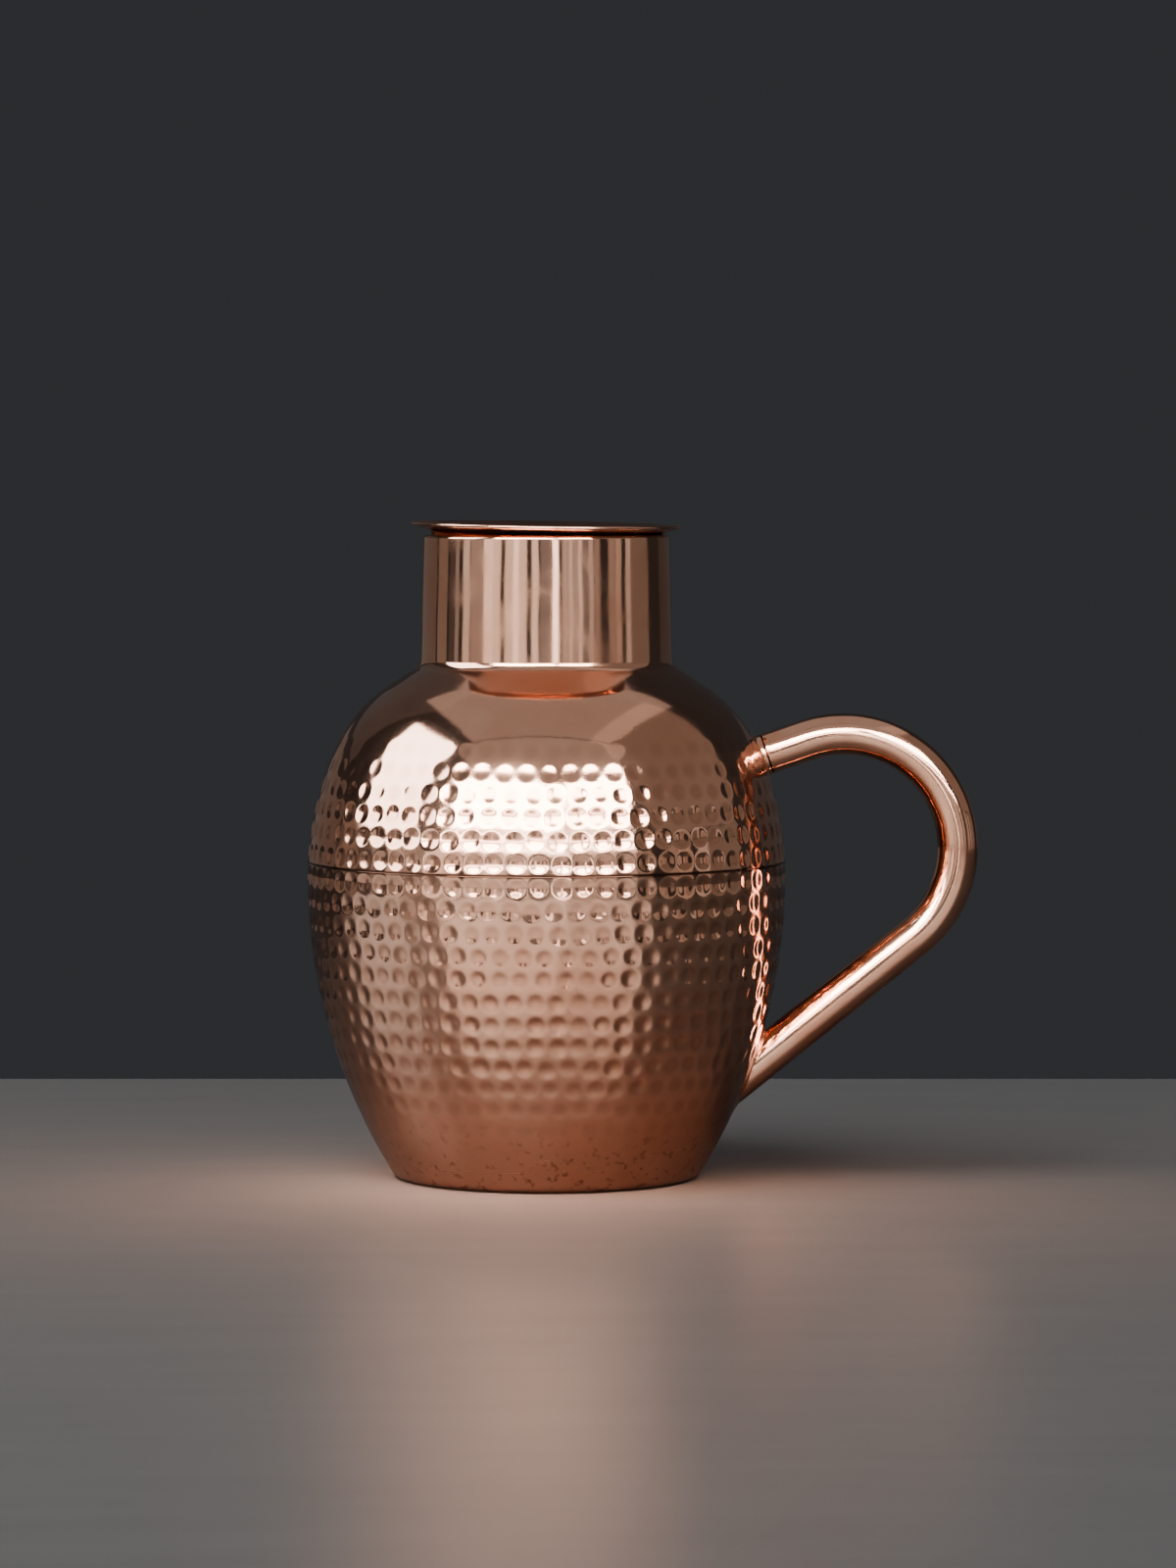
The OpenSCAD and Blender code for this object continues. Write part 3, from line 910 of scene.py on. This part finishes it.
def seam_edge(shape, side):
    """Rounded edge of a shell at the seam, from the flat to the outer face.
    side is 1 for the shell above the seam and -1 for the one below."""
    broken = shape.body.edge_break
    height = shape.body.seam_z + side * broken
    centre = Vector((shape.upper_radius(height) - broken, height))
    turns = [-side * math.pi / 2 * (1 - k / EDGE_STEPS) for k in range(EDGE_STEPS)]
    return [centre + broken * heading(turn) for turn in turns]


def spaced_skin(points, start, steps):
    """An outer face as evenly spaced (point, reach), where its first point lies at that reach."""
    return [(p, start + far) for p, far in resampled(points, steps)]


def radius_along(skin):
    """Gives the radius of the skin at a reach."""
    return lambda reach: min(skin, key=lambda step: abs(step[1] - reach))[0].x


def build_lower_shell(scene, shape):
    """Lower shell, from the seam down to the foot ring and back up inside to the lip."""
    body = scene.jug_body
    cut, wall, seam_z = body.edge_break, body.wall, body.seam_z
    above = arc(shape.upper_c, body.upper_r, shape.turn_at(seam_z) - cut / body.upper_r, 0, 8)
    flank = arc(shape.flank_c, shape.flank_r, 0, -shape.flank_turn, 120)
    corner = arc(shape.foot_c, body.foot_round, -shape.flank_turn, -math.pi / 2, 16)
    skin = spaced_skin(above + flank[1:] + corner[1:], cut, LOWER_RINGS)
    step_turn = shape.turn_at(seam_z - body.joggle_h, wall)
    inside = (arc(shape.foot_c, body.foot_round - wall, -math.pi / 2, -shape.flank_turn, 4)
              + arc(shape.flank_c, shape.flank_r - wall, -shape.flank_turn, 0, 12)[1:]
              + arc(shape.upper_c, body.upper_r - wall, 0, step_turn, 2)[1:])
    lap_r = shape.upper_radius(seam_z + body.lap_h, wall) - body.braze_gap
    lip = [(lap_r - wall, seam_z - wall), (lap_r - wall, seam_z + body.lap_h),
           (lap_r, seam_z + body.lap_h), (lap_r, seam_z)]
    rest = ([Vector((body.ring_in_r, 0)), Vector((body.ring_in_r, wall))] + inside
            + [Vector(p) for p in lip] + seam_edge(shape, -1))
    marks = scene.jug_hammer
    return hammered_shell("lower_body_shell", skin, rest, LOWER_SIDES, marks.lower_rows, marks.lower_faint,
                          scene)


def build_upper_shell(scene, shape):
    """Upper shell, from the seam up to the neck's seam and back down inside."""
    body = scene.jug_body
    cut, wall, seam_z = body.edge_break, body.wall, body.seam_z
    outer = (arc(shape.upper_c, body.upper_r, shape.turn_at(seam_z) + cut / body.upper_r, body.upper_turn, 60)
             + arc(shape.shoulder_c, body.shoulder_r, body.upper_turn, body.shoulder_turn, 60)[1:]
             + [Vector((shape.seam_r, shape.cone_z(shape.seam_r, 0)))])
    skin = spaced_skin(outer, cut, UPPER_RINGS)
    inside = (arc(shape.upper_c, body.upper_r - wall, shape.turn_at(seam_z, wall), body.upper_turn, 6)
              + arc(shape.shoulder_c, body.shoulder_r - wall, body.upper_turn, body.shoulder_turn, 6)[1:]
              + [Vector((shape.seam_r, shape.cone_z(shape.seam_r, wall)))])
    rest = inside[::-1] + seam_edge(shape, 1)
    marks = scene.jug_hammer
    return hammered_shell("upper_body_shell", skin, rest, UPPER_SIDES, marks.upper_rows, marks.upper_faint,
                          scene)


def build_base_disc(scene, shape):
    """Base disc on the foot ring, domed up, with a rounded edge."""
    body = scene.jug_body
    disc_r = body.foot_r - body.disc_inset
    dome_foot = body.ring_in_r - body.dome_inset
    dome_r = (dome_foot ** 2 + body.dome_h ** 2) / (2 * body.dome_h)
    centre = Vector((0, body.wall + body.dome_h - dome_r))

    def dome(radius):
        """Dome's arc from the axis out to the flat rim."""
        edge = math.acos((radius - body.dome_h) / radius)
        return arc(centre, radius, math.pi / 2, math.pi / 2 - edge, 24)

    edge_r = body.wall / 2
    rim = arc(Vector((disc_r - edge_r, body.wall + edge_r)), edge_r, -math.pi / 2, math.pi / 2, 8)
    return revolved("domed_base", dome(dome_r) + rim + dome(dome_r + body.wall)[::-1], BASE_SIDES,
                    closed=False)


# ---------------------------------------------------------------- neck and tumbler

def out_of_round(amount, low, high):
    """Slow change of radius round a spun piece, none below low, full above high, and always inwards."""
    def ripple(turn, point):
        share_ = min(1.0, max(0.0, (point.y - low) / (high - low)))
        wave = sum(part * math.sin(waves * turn + start + climb * point.y)
                   for waves, start, climb, part in RIPPLES)
        return -amount * share_ * (0.5 + wave / 4)
    return ripple


def build_neck(scene, shape):
    """Collar: skirt, hollow curve, neck and rolled edge, with the sheet's inner face."""
    neck, wall = scene.jug_neck, scene.jug_body.wall
    slope = scene.jug_body.shoulder_turn
    foot = arc(shape.fillet_c, neck.fillet, math.pi + slope, math.pi, 16)
    bead_end = math.tau - math.acos((neck.bead_r - wall) / neck.bead_r)
    bead = arc(shape.bead_c, neck.bead_r, 0, bead_end, 28)
    inner_foot = arc(shape.fillet_c, neck.fillet + wall, math.pi, math.pi + slope, 12)
    skirt = Vector((shape.seam_r, shape.cone_z(shape.seam_r, 0)))
    under = Vector((shape.seam_r, shape.cone_z(shape.seam_r, wall)))
    outline = ([skirt] + foot[:-1] + line(foot[-1], bead[0], 36) + bead
               + line(bead[-1], inner_foot[0], 12)[1:] + inner_foot + [under])
    ripple = out_of_round(neck.ripple, foot[-1].y, foot[-1].y + neck.height / 4)
    return revolved("neck", outline, NECK_SIDES, ripple=ripple)


def tumbler_place(scene, shape):
    """Where the tumbler sits in the neck: its tip and its height."""
    cup, neck = scene.jug_tumbler, scene.jug_neck
    drop = math.sqrt((cup.relief - cup.seat_gap) ** 2 - (cup.relief - cup.play) ** 2)
    height = shape.bead_c.y - drop + shape.bead_c.x * math.sin(cup.tip)
    return (Matrix.Translation((0, 0, height)) @ Matrix.Rotation(cup.tip_heading, 4, "Z")
            @ Matrix.Rotation(cup.tip, 4, "Y"))


def build_tumbler(scene, shape):
    """Tumbler with a flat foot, a rounded corner, a tapered wall and a flared lip."""
    cup, neck = scene.jug_tumbler, scene.jug_neck
    turn_r = neck.bead_r + cup.relief
    turn_c = Vector((shape.bead_c.x - neck.bead_r - cup.play + turn_r, 0))
    corner_c = Vector((cup.foot_r - cup.corner, cup.corner - cup.depth))
    across = turn_c - corner_c
    taper = math.atan2(across.x, across.y) - math.asin((cup.corner + turn_r) / across.length)
    lip_start = turn_c + (turn_r + cup.wall / 2) * heading(math.pi / 2 + cup.lip_rise)
    reach = neck.top_r + cup.overhang - cup.wall / 2 - lip_start.x
    lip_end = lip_start + reach / math.cos(cup.lip_rise) * heading(cup.lip_rise)
    corner = arc(corner_c, cup.corner, -math.pi / 2, -taper, 12)
    turn = arc(turn_c, turn_r, math.pi - taper, math.pi / 2 + cup.lip_rise, 16)
    tip = arc(lip_end, cup.wall / 2, cup.lip_rise - math.pi / 2, cup.lip_rise + math.pi / 2, 10)
    over = arc(turn_c, turn_r + cup.wall, math.pi / 2 + cup.lip_rise, math.pi - taper, 16)
    inner = arc(corner_c, cup.corner - cup.wall, -taper, -math.pi / 2, 10)
    outline = ([Vector((0, -cup.depth))] + line(Vector((CENTRE_FLAT, -cup.depth)), corner[0], 8) + corner[:-1]
               + line(corner[-1], turn[0], 30) + turn[:-1] + line(turn[-1], tip[0], 4) + tip[:-1]
               + line(tip[-1], over[0], 4) + over[:-1] + line(over[-1], inner[0], 30) + inner[:-1]
               + line(inner[-1], Vector((CENTRE_FLAT, cup.wall - cup.depth)), 8)
               + [Vector((0, cup.wall - cup.depth))])
    piece = revolved("tumbler_cup", outline, TUMBLER_SIDES, closed=False)
    piece.data.transform(tumbler_place(scene, shape))
    return piece


# ---------------------------------------------------------------- handle

def in_space(point):
    """A point or a direction of the handle's plane, in space."""
    return Vector((point.x, 0, point.y))


def side_of(turn, around, flat=0.0):
    """Unit vector out of the tube's side, at an angle round it. flat draws it in across the bend."""
    return (1 - flat) * math.cos(around) * in_space(left_of(turn)) + math.sin(around) * Vector((0, 1, 0))


def ring_at(centre, turn, radius, flat=0.0):
    """Points round the tube at a place on its centreline."""
    return [in_space(centre) + radius * side_of(turn, math.tau * s / TUBE_SIDES, flat)
            for s in range(TUBE_SIDES)]


def between(first, second, steps):
    """Rings evenly between two rings, without either."""
    return [[a.lerp(b, k / steps) for a, b in zip(first, second)] for k in range(1, steps)]


class Handle:
    """The handle's centreline, in the plane of the body's axis, and its cuts against the body."""

    def __init__(self, scene, shape):
        self.settings = handle = scene.jug_handle
        self.shape = shape
        self.edge = handle.edge_break
        self.tube_r = handle.tube_d / 2
        self.bore_r = self.tube_r - handle.tube_wall
        self.rise = handle.rise
        self.back = handle.rise - handle.turn
        self.ahead = heading(self.rise)
        self.root = shape.upper_c + scene.jug_body.upper_r * heading(handle.root_turn)
        self.tube_end = self.root + handle.boss_show * self.ahead
        self.bend_start = self.tube_end + handle.lead * self.ahead
        self.bend_c = self.bend_start - handle.bend_r * left_of(self.rise)
        self.bend_end = self.bend_c + handle.bend_r * left_of(self.back)

    def rings(self, radius, lead_steps, bend_steps):
        """Rings along the lead and the bend, a little flattened where it is bent."""
        lead = self.bend_start - self.tube_end
        found = [ring_at(self.tube_end + lead * k / lead_steps, self.rise, radius)
                 for k in range(1, lead_steps)]
        for k in range(bend_steps + 1):
            turn = self.rise + (self.back - self.rise) * k / bend_steps
            centre = self.bend_c + self.settings.bend_r * left_of(turn)
            flat = self.settings.oval * math.sin(math.pi * k / bend_steps)
            found.append(ring_at(centre, turn, radius, flat))
        return found

    def coped(self, ring, ahead):
        """A ring carried along a direction until each point meets the body's outer face."""
        return [p + where_it_meets(self.shape, p, ahead, COPE_REACH) * ahead for p in ring]

    def foot(self, radius):
        """The tube's lower end, cut to the body."""
        return self.coped(ring_at(self.bend_end, self.back, radius), in_space(heading(self.back)))

    def seat(self, radius):
        """The boss's root, cut to the body."""
        return self.coped(ring_at(self.tube_end, self.rise, radius), in_space(-self.ahead))


def ring_solid(name, rings, closed, held=None):
    """A closed mesh from rings of as many points each: joined round if closed, else capped at both ends."""
    sides = len(rings[0])
    points = [p for ring in rings for p in ring]
    faces = loop_faces(len(rings), sides, closed)
    if not closed:
        for ring, first in ((rings[0], 0), (rings[-1], (len(rings) - 1) * sides)):
            points.append(sum(ring, Vector((0, 0, 0))) / sides)
            faces += [(first + s, first + (s + 1) % sides, len(points) - 1) for s in range(sides)]
        held = {key: values + [values[0], values[-1]] for key, values in (held or {}).items()}
    return mesh_object(name, points, faces, held)


def tube_grain(rings, seam):
    """For each point, its distance along the tube and its place round it, for grain that follows it, and
    whether it lies in the groove between tube and boss, on one of the rings of that seam, where shade is
    painted dark."""
    along = [0.0]
    for a, b in zip(rings, rings[1:]):
        along.append(along[-1] + (b[0] - a[0]).length)
    around = [math.tau * s / TUBE_SIDES for s in range(TUBE_SIDES)]
    grain = ([a for a in along for _ in around], [math.cos(t) for _ in rings for t in around],
             [math.sin(t) for _ in rings for t in around])
    return {**dict(zip(GRAIN, grain)),
            # Painted shade: the rings at the joint between tube and boss are painted dark.
            "seam_shade": [1.0 if ring in seam else 0.0 for ring in rings for _ in around]}


def rounded_end(handle, centre, radius, way):
    """Rings round a turned edge, from its face to its full radius. way is the side the metal lies on."""
    found = []
    for turn in (0.0, math.pi / 6, math.pi / 3):
        back = handle.edge * (1 - math.sin(turn))
        found.append(ring_at(centre + way * (handle.edge - handle.edge * math.cos(turn)) * handle.ahead,
                             handle.rise, radius - back))
    found.append(ring_at(centre + way * handle.edge * handle.ahead, handle.rise, radius))
    return found


def build_tube(handle):
    """Handle's tube: square and rounded at the top edge, cut to the body at the bottom, with its bore."""
    edge = rounded_end(handle, handle.tube_end, handle.tube_r, 1)
    outer = edge + handle.rings(handle.tube_r, lead_steps=8, bend_steps=72)
    foot = handle.foot(handle.tube_r)
    foot_in = handle.foot(handle.bore_r)
    bore = ([ring_at(handle.tube_end, handle.rise, handle.bore_r)]
            + handle.rings(handle.bore_r, lead_steps=3, bend_steps=30))
    rings = (outer + between(outer[-1], foot, 44) + [foot, foot_in] + between(foot_in, bore[-1], 6)
             + bore[::-1])
    return ring_solid("handle_loop", rings, True, tube_grain(rings, edge[:-1]))


def build_boss(handle):
    """Boss between the body and the tube, with its spigot inside the tube."""
    settings = handle.settings
    spigot_r = handle.bore_r - settings.spigot_gap
    spigot_end = handle.tube_end + settings.spigot_l * handle.ahead
    seat = [handle.seat(handle.tube_r * share_) for share_ in (0.3, 0.6, 0.85, 1.0)]
    face = rounded_end(handle, handle.tube_end, handle.tube_r, -1)[::-1]
    spigot = ([ring_at(handle.tube_end, handle.rise, spigot_r)]
              + rounded_end(handle, spigot_end, spigot_r, -1)[::-1])
    rings = seat + between(seat[-1], face[0], 3) + face + spigot
    return ring_solid("handle_boss_turned", rings, False, tube_grain(rings, face[1:]))


def hollow_curve(top, corner, toe, steps):
    """Points of a curve from top to toe that leaves along the lines to the corner."""
    found = []
    for k in range(steps + 1):
        t = k / steps
        found.append((1 - t) ** 2 * top + 2 * t * (1 - t) * corner + t ** 2 * toe)
    return found


def build_fillet(name, handle, centre, turn, way, width, height, grow):
    """Ring of filler round the rod's root at that centre, whose direction there is turn. way is the direction
    in which the rod runs into the body; grow widens the ring where the rod leans towards the body."""
    into = in_space(way * heading(turn))
    sections = []
    for s in range(TUBE_SIDES):
        around = math.tau * s / TUBE_SIDES
        side = side_of(turn, around)
        on_rod = in_space(centre) + handle.tube_r * side
        root = on_rod + where_it_meets(handle.shape, on_rod, into, COPE_REACH) * into
        wider = width * (1 + grow * max(0.0, math.cos(around)))
        off_rod = on_rod + wider * side
        toe = off_rod + where_it_meets(handle.shape, off_rod, into, COPE_REACH) * into
        taller = height * (1 + grow * max(0.0, math.cos(around)))
        top = root - taller * into
        sunk = FILLER_SINK * into
        inward = -FILLER_SINK * side
        curve = hollow_curve(top + inward, root, toe + sunk, FILLET_STEPS)
        sections.append(curve + [root + sunk + inward])
    rings = [[section[k] for section in sections] for k in range(len(sections[0]))]
    return ring_solid(name, rings, True)


# ---------------------------------------------------------------- stage

def panel_light(name, azimuths, heights, radiance, tint):
    """A flat, evenly lit panel round the jug that only its polish reflects, so that it leaves the floor
    alone. azimuths run from the camera's side towards the handle, and heights up from level, in degrees.
    Near the top, where azimuths crowd together, they are angles across the panel."""
    azimuth, up = (math.radians(sum(pair) / 2) for pair in (azimuths, heights))
    toward = Vector((math.sin(azimuth) * math.cos(up), -math.cos(azimuth) * math.cos(up), math.sin(up)))
    wide, high = (math.radians(pair[1] - pair[0]) for pair in (azimuths, heights))
    data = bpy.data.lights.new(name, "AREA")
    data.shape = "RECTANGLE"
    crowding = math.cos(up) if up < NEAR_TOP else 1.0
    data.size = 2 * PANEL_AWAY * math.tan(wide / 2) * crowding
    data.size_y = 2 * PANEL_AWAY * math.tan(high / 2)
    data.energy = radiance * math.pi * data.size * data.size_y
    data.color = tint
    place = Matrix.Translation(Vector((0, 0, LIT_HEIGHT)) + PANEL_AWAY * toward)
    lamp = bpy.data.objects.new(name, data)
    lamp.matrix_world = place @ toward.to_track_quat("Z", "Y").to_matrix().to_4x4()
    lamp.visible_camera = False
    lamp.visible_diffuse = False
    bpy.context.scene.collection.objects.link(lamp)


COOL, PLAIN, WARM = (0.90, 0.96, 1.0), (1.0, 0.98, 0.96), (1.0, 0.90, 0.80)
# Panels: name, azimuths, heights, brightness and tint.
WINDOWS = [
    ("key_left", (-50, 8), (19, 37), 30.0, PLAIN),
    ("key_right", (12, 44), (19, 37), 25.0, PLAIN),
    ("sill", (-50, 44), (14.5, 18.5), 3.0, PLAIN),
    ("low_pane_left", (-50, 8), (11, 14.5), 16.0, PLAIN),
    ("low_pane_right", (12, 44), (11, 14.5), 12.0, PLAIN),
    ("side_window", (-106, -65), (10, 48), 9.0, COOL),
    ("upper_haze", (-50, 44), (39, 62), 0.36, PLAIN),
    ("overhead", (-36, 30), (63, 124), 0.34, PLAIN),
    ("back_left", (-170, -125), (15, 60), 0.05, COOL),
    ("right_wall", (48, 116), (12, 66), 0.19, WARM),
]
# Narrow panels about level with the jug: where each starts and ends, its brightness and its tint.
LEVEL_STRIPS = [
    (-160, -121, 0.10, WARM),
    (-118, -103, 0.18, WARM), (-100, -93, 0.05, WARM), (-92, -87, 0.30, COOL), (-82, -74, 0.75, PLAIN),
    (-73, -60, 0.36, PLAIN), (-59, -50, 1.50, PLAIN), (-50, -42, 1.15, PLAIN), (-38, -30, 1.05, PLAIN),
    (-30, -25, 1.90, PLAIN), (-25, -17.5, 1.10, PLAIN), (-13, -7, 1.20, PLAIN), (-5, 5, 0.24, COOL),
    (6, 11, 4.20, PLAIN), (14.5, 20, 0.55, PLAIN), (20.5, 24.5, 0.80, PLAIN), (25, 29, 0.45, PLAIN),
    (29.5, 33, 0.95, PLAIN), (33, 39, 0.16, COOL), (39.5, 44, 0.55, PLAIN), (45, 50.5, 0.30, WARM),
    (59, 66, 0.30, WARM), (66.5, 73, 0.42, WARM), (78, 84, 0.50, PLAIN), (84.5, 108, 0.16, WARM),
    (128, 164, 0.03, WARM),
]
STRIP_HEIGHTS = (-4, 11)


def build_lights(stage):
    """Windows and walls that the polish reflects, and one soft light over the floor."""
    for name, azimuths, heights, radiance, tint in WINDOWS:
        panel_light(name, azimuths, heights, radiance, tint)
    for k, (start, end, radiance, tint) in enumerate(LEVEL_STRIPS, 1):
        panel_light(f"level_strip_{k}", (start, end), STRIP_HEIGHTS, radiance, tint)
    data = bpy.data.lights.new("floor_soft", "AREA")
    data.shape = "DISK"
    data.size = stage.soft_size
    data.energy = stage.soft_power
    lamp = bpy.data.objects.new("floor_soft", data)
    place = Vector(stage.soft_place)
    lamp.matrix_world = Matrix.Translation(place) @ place.to_track_quat("Z", "Y").to_matrix().to_4x4()
    lamp.visible_camera = False
    lamp.visible_glossy = False
    bpy.context.scene.collection.objects.link(lamp)


def build_floor(stage):
    """Plain floor, with slightly rounded edges."""
    low = Vector((-stage.floor_half, -stage.floor_front, -FLOOR_THICK))
    high = Vector((stage.floor_half, stage.floor_back, 0))
    mesh = bpy.data.meshes.new("floor")
    shape = bmesh.new()
    bmesh.ops.create_cube(shape, size=1.0)
    for vert in shape.verts:
        vert.co = Vector(((low[i] + high[i]) / 2 + vert.co[i] * (high[i] - low[i]) for i in range(3)))
    bmesh.ops.bevel(shape, geom=shape.edges[:], offset=FLOOR_EDGE, segments=3, affect="EDGES")
    shape.to_mesh(mesh)
    shape.free()
    mesh.materials.append(floor_stone(stage))
    floor = bpy.data.objects.new("floor", mesh)
    bpy.context.scene.collection.objects.link(floor)


def build_camera(stage):
    """Camera a little above the jug's middle, aimed slightly down."""
    data = bpy.data.cameras.new("camera")
    data.lens = stage.lens
    data.sensor_width = SENSOR
    camera = bpy.data.objects.new("camera", data)
    camera.location = (stage.aim_x, -stage.camera_y, stage.camera_z)
    aim = Vector((stage.aim_x, 0, stage.aim_z)) - camera.location
    camera.rotation_euler = aim.to_track_quat("-Z", "Y").to_euler()
    bpy.context.scene.collection.objects.link(camera)
    bpy.context.scene.camera = camera


def build_world(stage):
    """Even, dark surround."""
    world = bpy.data.worlds.new("surround")
    world.use_nodes = True
    ground = world.node_tree.nodes["Background"]
    ground.inputs["Color"].default_value = rgba(stage.world)
    ground.inputs["Strength"].default_value = 1.0
    bpy.context.scene.world = world


# ---------------------------------------------------------------- operators

class JUG_OT_stage(bpy.types.Operator):
    """Build the floor, the lights and the camera"""
    bl_idname = "copper_jug.stage"
    bl_label = "Stage"

    def execute(self, context):
        stage = context.scene.jug_stage
        build_world(stage)
        build_floor(stage)
        build_lights(stage)
        build_camera(stage)
        return {"FINISHED"}


class JUG_OT_shells(bpy.types.Operator):
    """Build the two hammered shells of the body"""
    bl_idname = "copper_jug.shells"
    bl_label = "Hammered shells"

    def execute(self, context):
        shape = Outline(context.scene)
        finish = finish_of("Hammered copper")
        finished(build_lower_shell(context.scene, shape), "jug", "hammered_copper", ["lower_shell"], finish)
        finished(build_upper_shell(context.scene, shape), "jug", "hammered_copper", ["upper_shell"], finish)
        return {"FINISHED"}


class JUG_OT_base(bpy.types.Operator):
    """Build the domed disc that closes the bottom"""
    bl_idname = "copper_jug.base"
    bl_label = "Base disc"

    def execute(self, context):
        piece = build_base_disc(context.scene, Outline(context.scene))
        finished(piece, "jug", "polished_copper", ["base_disc"], finish_of("Inner copper"))
        return {"FINISHED"}


class JUG_OT_neck(bpy.types.Operator):
    """Build the polished collar"""
    bl_idname = "copper_jug.neck"
    bl_label = "Neck"

    def execute(self, context):
        piece = build_neck(context.scene, Outline(context.scene))
        finished(piece, "jug", "polished_copper", ["neck_collar"], finish_of("Neck copper"))
        return {"FINISHED"}


class JUG_OT_handle(bpy.types.Operator):
    """Build the handle's tube and its boss"""
    bl_idname = "copper_jug.handle"
    bl_label = "Handle"

    def execute(self, context):
        handle = Handle(context.scene, Outline(context.scene))
        finish = finish_of("Handle copper")
        finished(build_tube(handle), "jug", "polished_copper", ["handle_tube"], finish)
        finished(build_boss(handle), "jug", "polished_copper", ["handle_boss"], finish)
        return {"FINISHED"}


class JUG_OT_fillers(bpy.types.Operator):
    """Build the fillets of filler at the handle's roots, and finish the fillers inside the body"""
    bl_idname = "copper_jug.fillers"
    bl_label = "Fillers"

    def execute(self, context):
        fillers = context.scene.jug_fillers
        handle = Handle(context.scene, Outline(context.scene))
        finish = finish_of("Filler metal")
        upper = build_fillet("upper_root_fillet", handle, handle.tube_end, handle.rise, -1,
                             fillers.upper_w, fillers.upper_h, 0.0)
        lower = build_fillet("lower_root_fillet", handle, handle.bend_end, handle.back, 1,
                             fillers.lower_w, fillers.lower_h, fillers.lower_grow)
        finished(upper, "jug", "filler_metal", ["upper_root_braze"], finish)
        finished(lower, "jug", "filler_metal", ["lower_root_braze"], finish)
        for node in INNER_FILLERS:
            coat(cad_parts[node], finish)
        return {"FINISHED"}


class JUG_OT_tumbler(bpy.types.Operator):
    """Build the tumbler that hangs in the neck"""
    bl_idname = "copper_jug.tumbler"
    bl_label = "Tumbler"

    def execute(self, context):
        piece = build_tumbler(context.scene, Outline(context.scene))
        finished(piece, "tumbler", "tumbler_copper", ["tumbler"], finish_of("Tumbler copper"))
        return {"FINISHED"}


def coat(node, finish):
    """Gives a carried-over piece of the frame a finish, through its object's slots."""
    if not node.material_slots:
        raise RuntimeError(f"{node.name} has no material slot")
    for place in node.material_slots:
        place.link = "OBJECT"
        place.material = finish


OPERATORS = [JUG_OT_stage, JUG_OT_shells, JUG_OT_base, JUG_OT_neck, JUG_OT_handle, JUG_OT_fillers,
             JUG_OT_tumbler]


class JUG_PT_panel(bpy.types.Panel):
    """Lists the steps that build the jug"""
    bl_idname = "JUG_PT_panel"
    bl_label = "Copper Jug"
    bl_space_type = "VIEW_3D"
    bl_region_type = "UI"
    bl_category = "Copper Jug"

    def draw(self, context):
        for step in OPERATORS:
            self.layout.operator(step.bl_idname)


def register():
    """Registers the settings, the operators and the panel."""
    for key, kind in SETTINGS.items():
        bpy.utils.register_class(kind)
        setattr(bpy.types.Scene, key, bpy.props.PointerProperty(type=kind))
    for kind in OPERATORS + [JUG_PT_panel]:
        bpy.utils.register_class(kind)


def unregister():
    """Takes them away again."""
    for kind in reversed(OPERATORS + [JUG_PT_panel]):
        bpy.utils.unregister_class(kind)
    for key, kind in reversed(SETTINGS.items()):
        delattr(bpy.types.Scene, key)
        bpy.utils.unregister_class(kind)


def main():
    """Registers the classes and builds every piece."""
    register()
    for step in OPERATORS:
        getattr(bpy.ops.copper_jug, step.bl_idname.split(".")[1])()


if __name__ == "__main__":
    main()
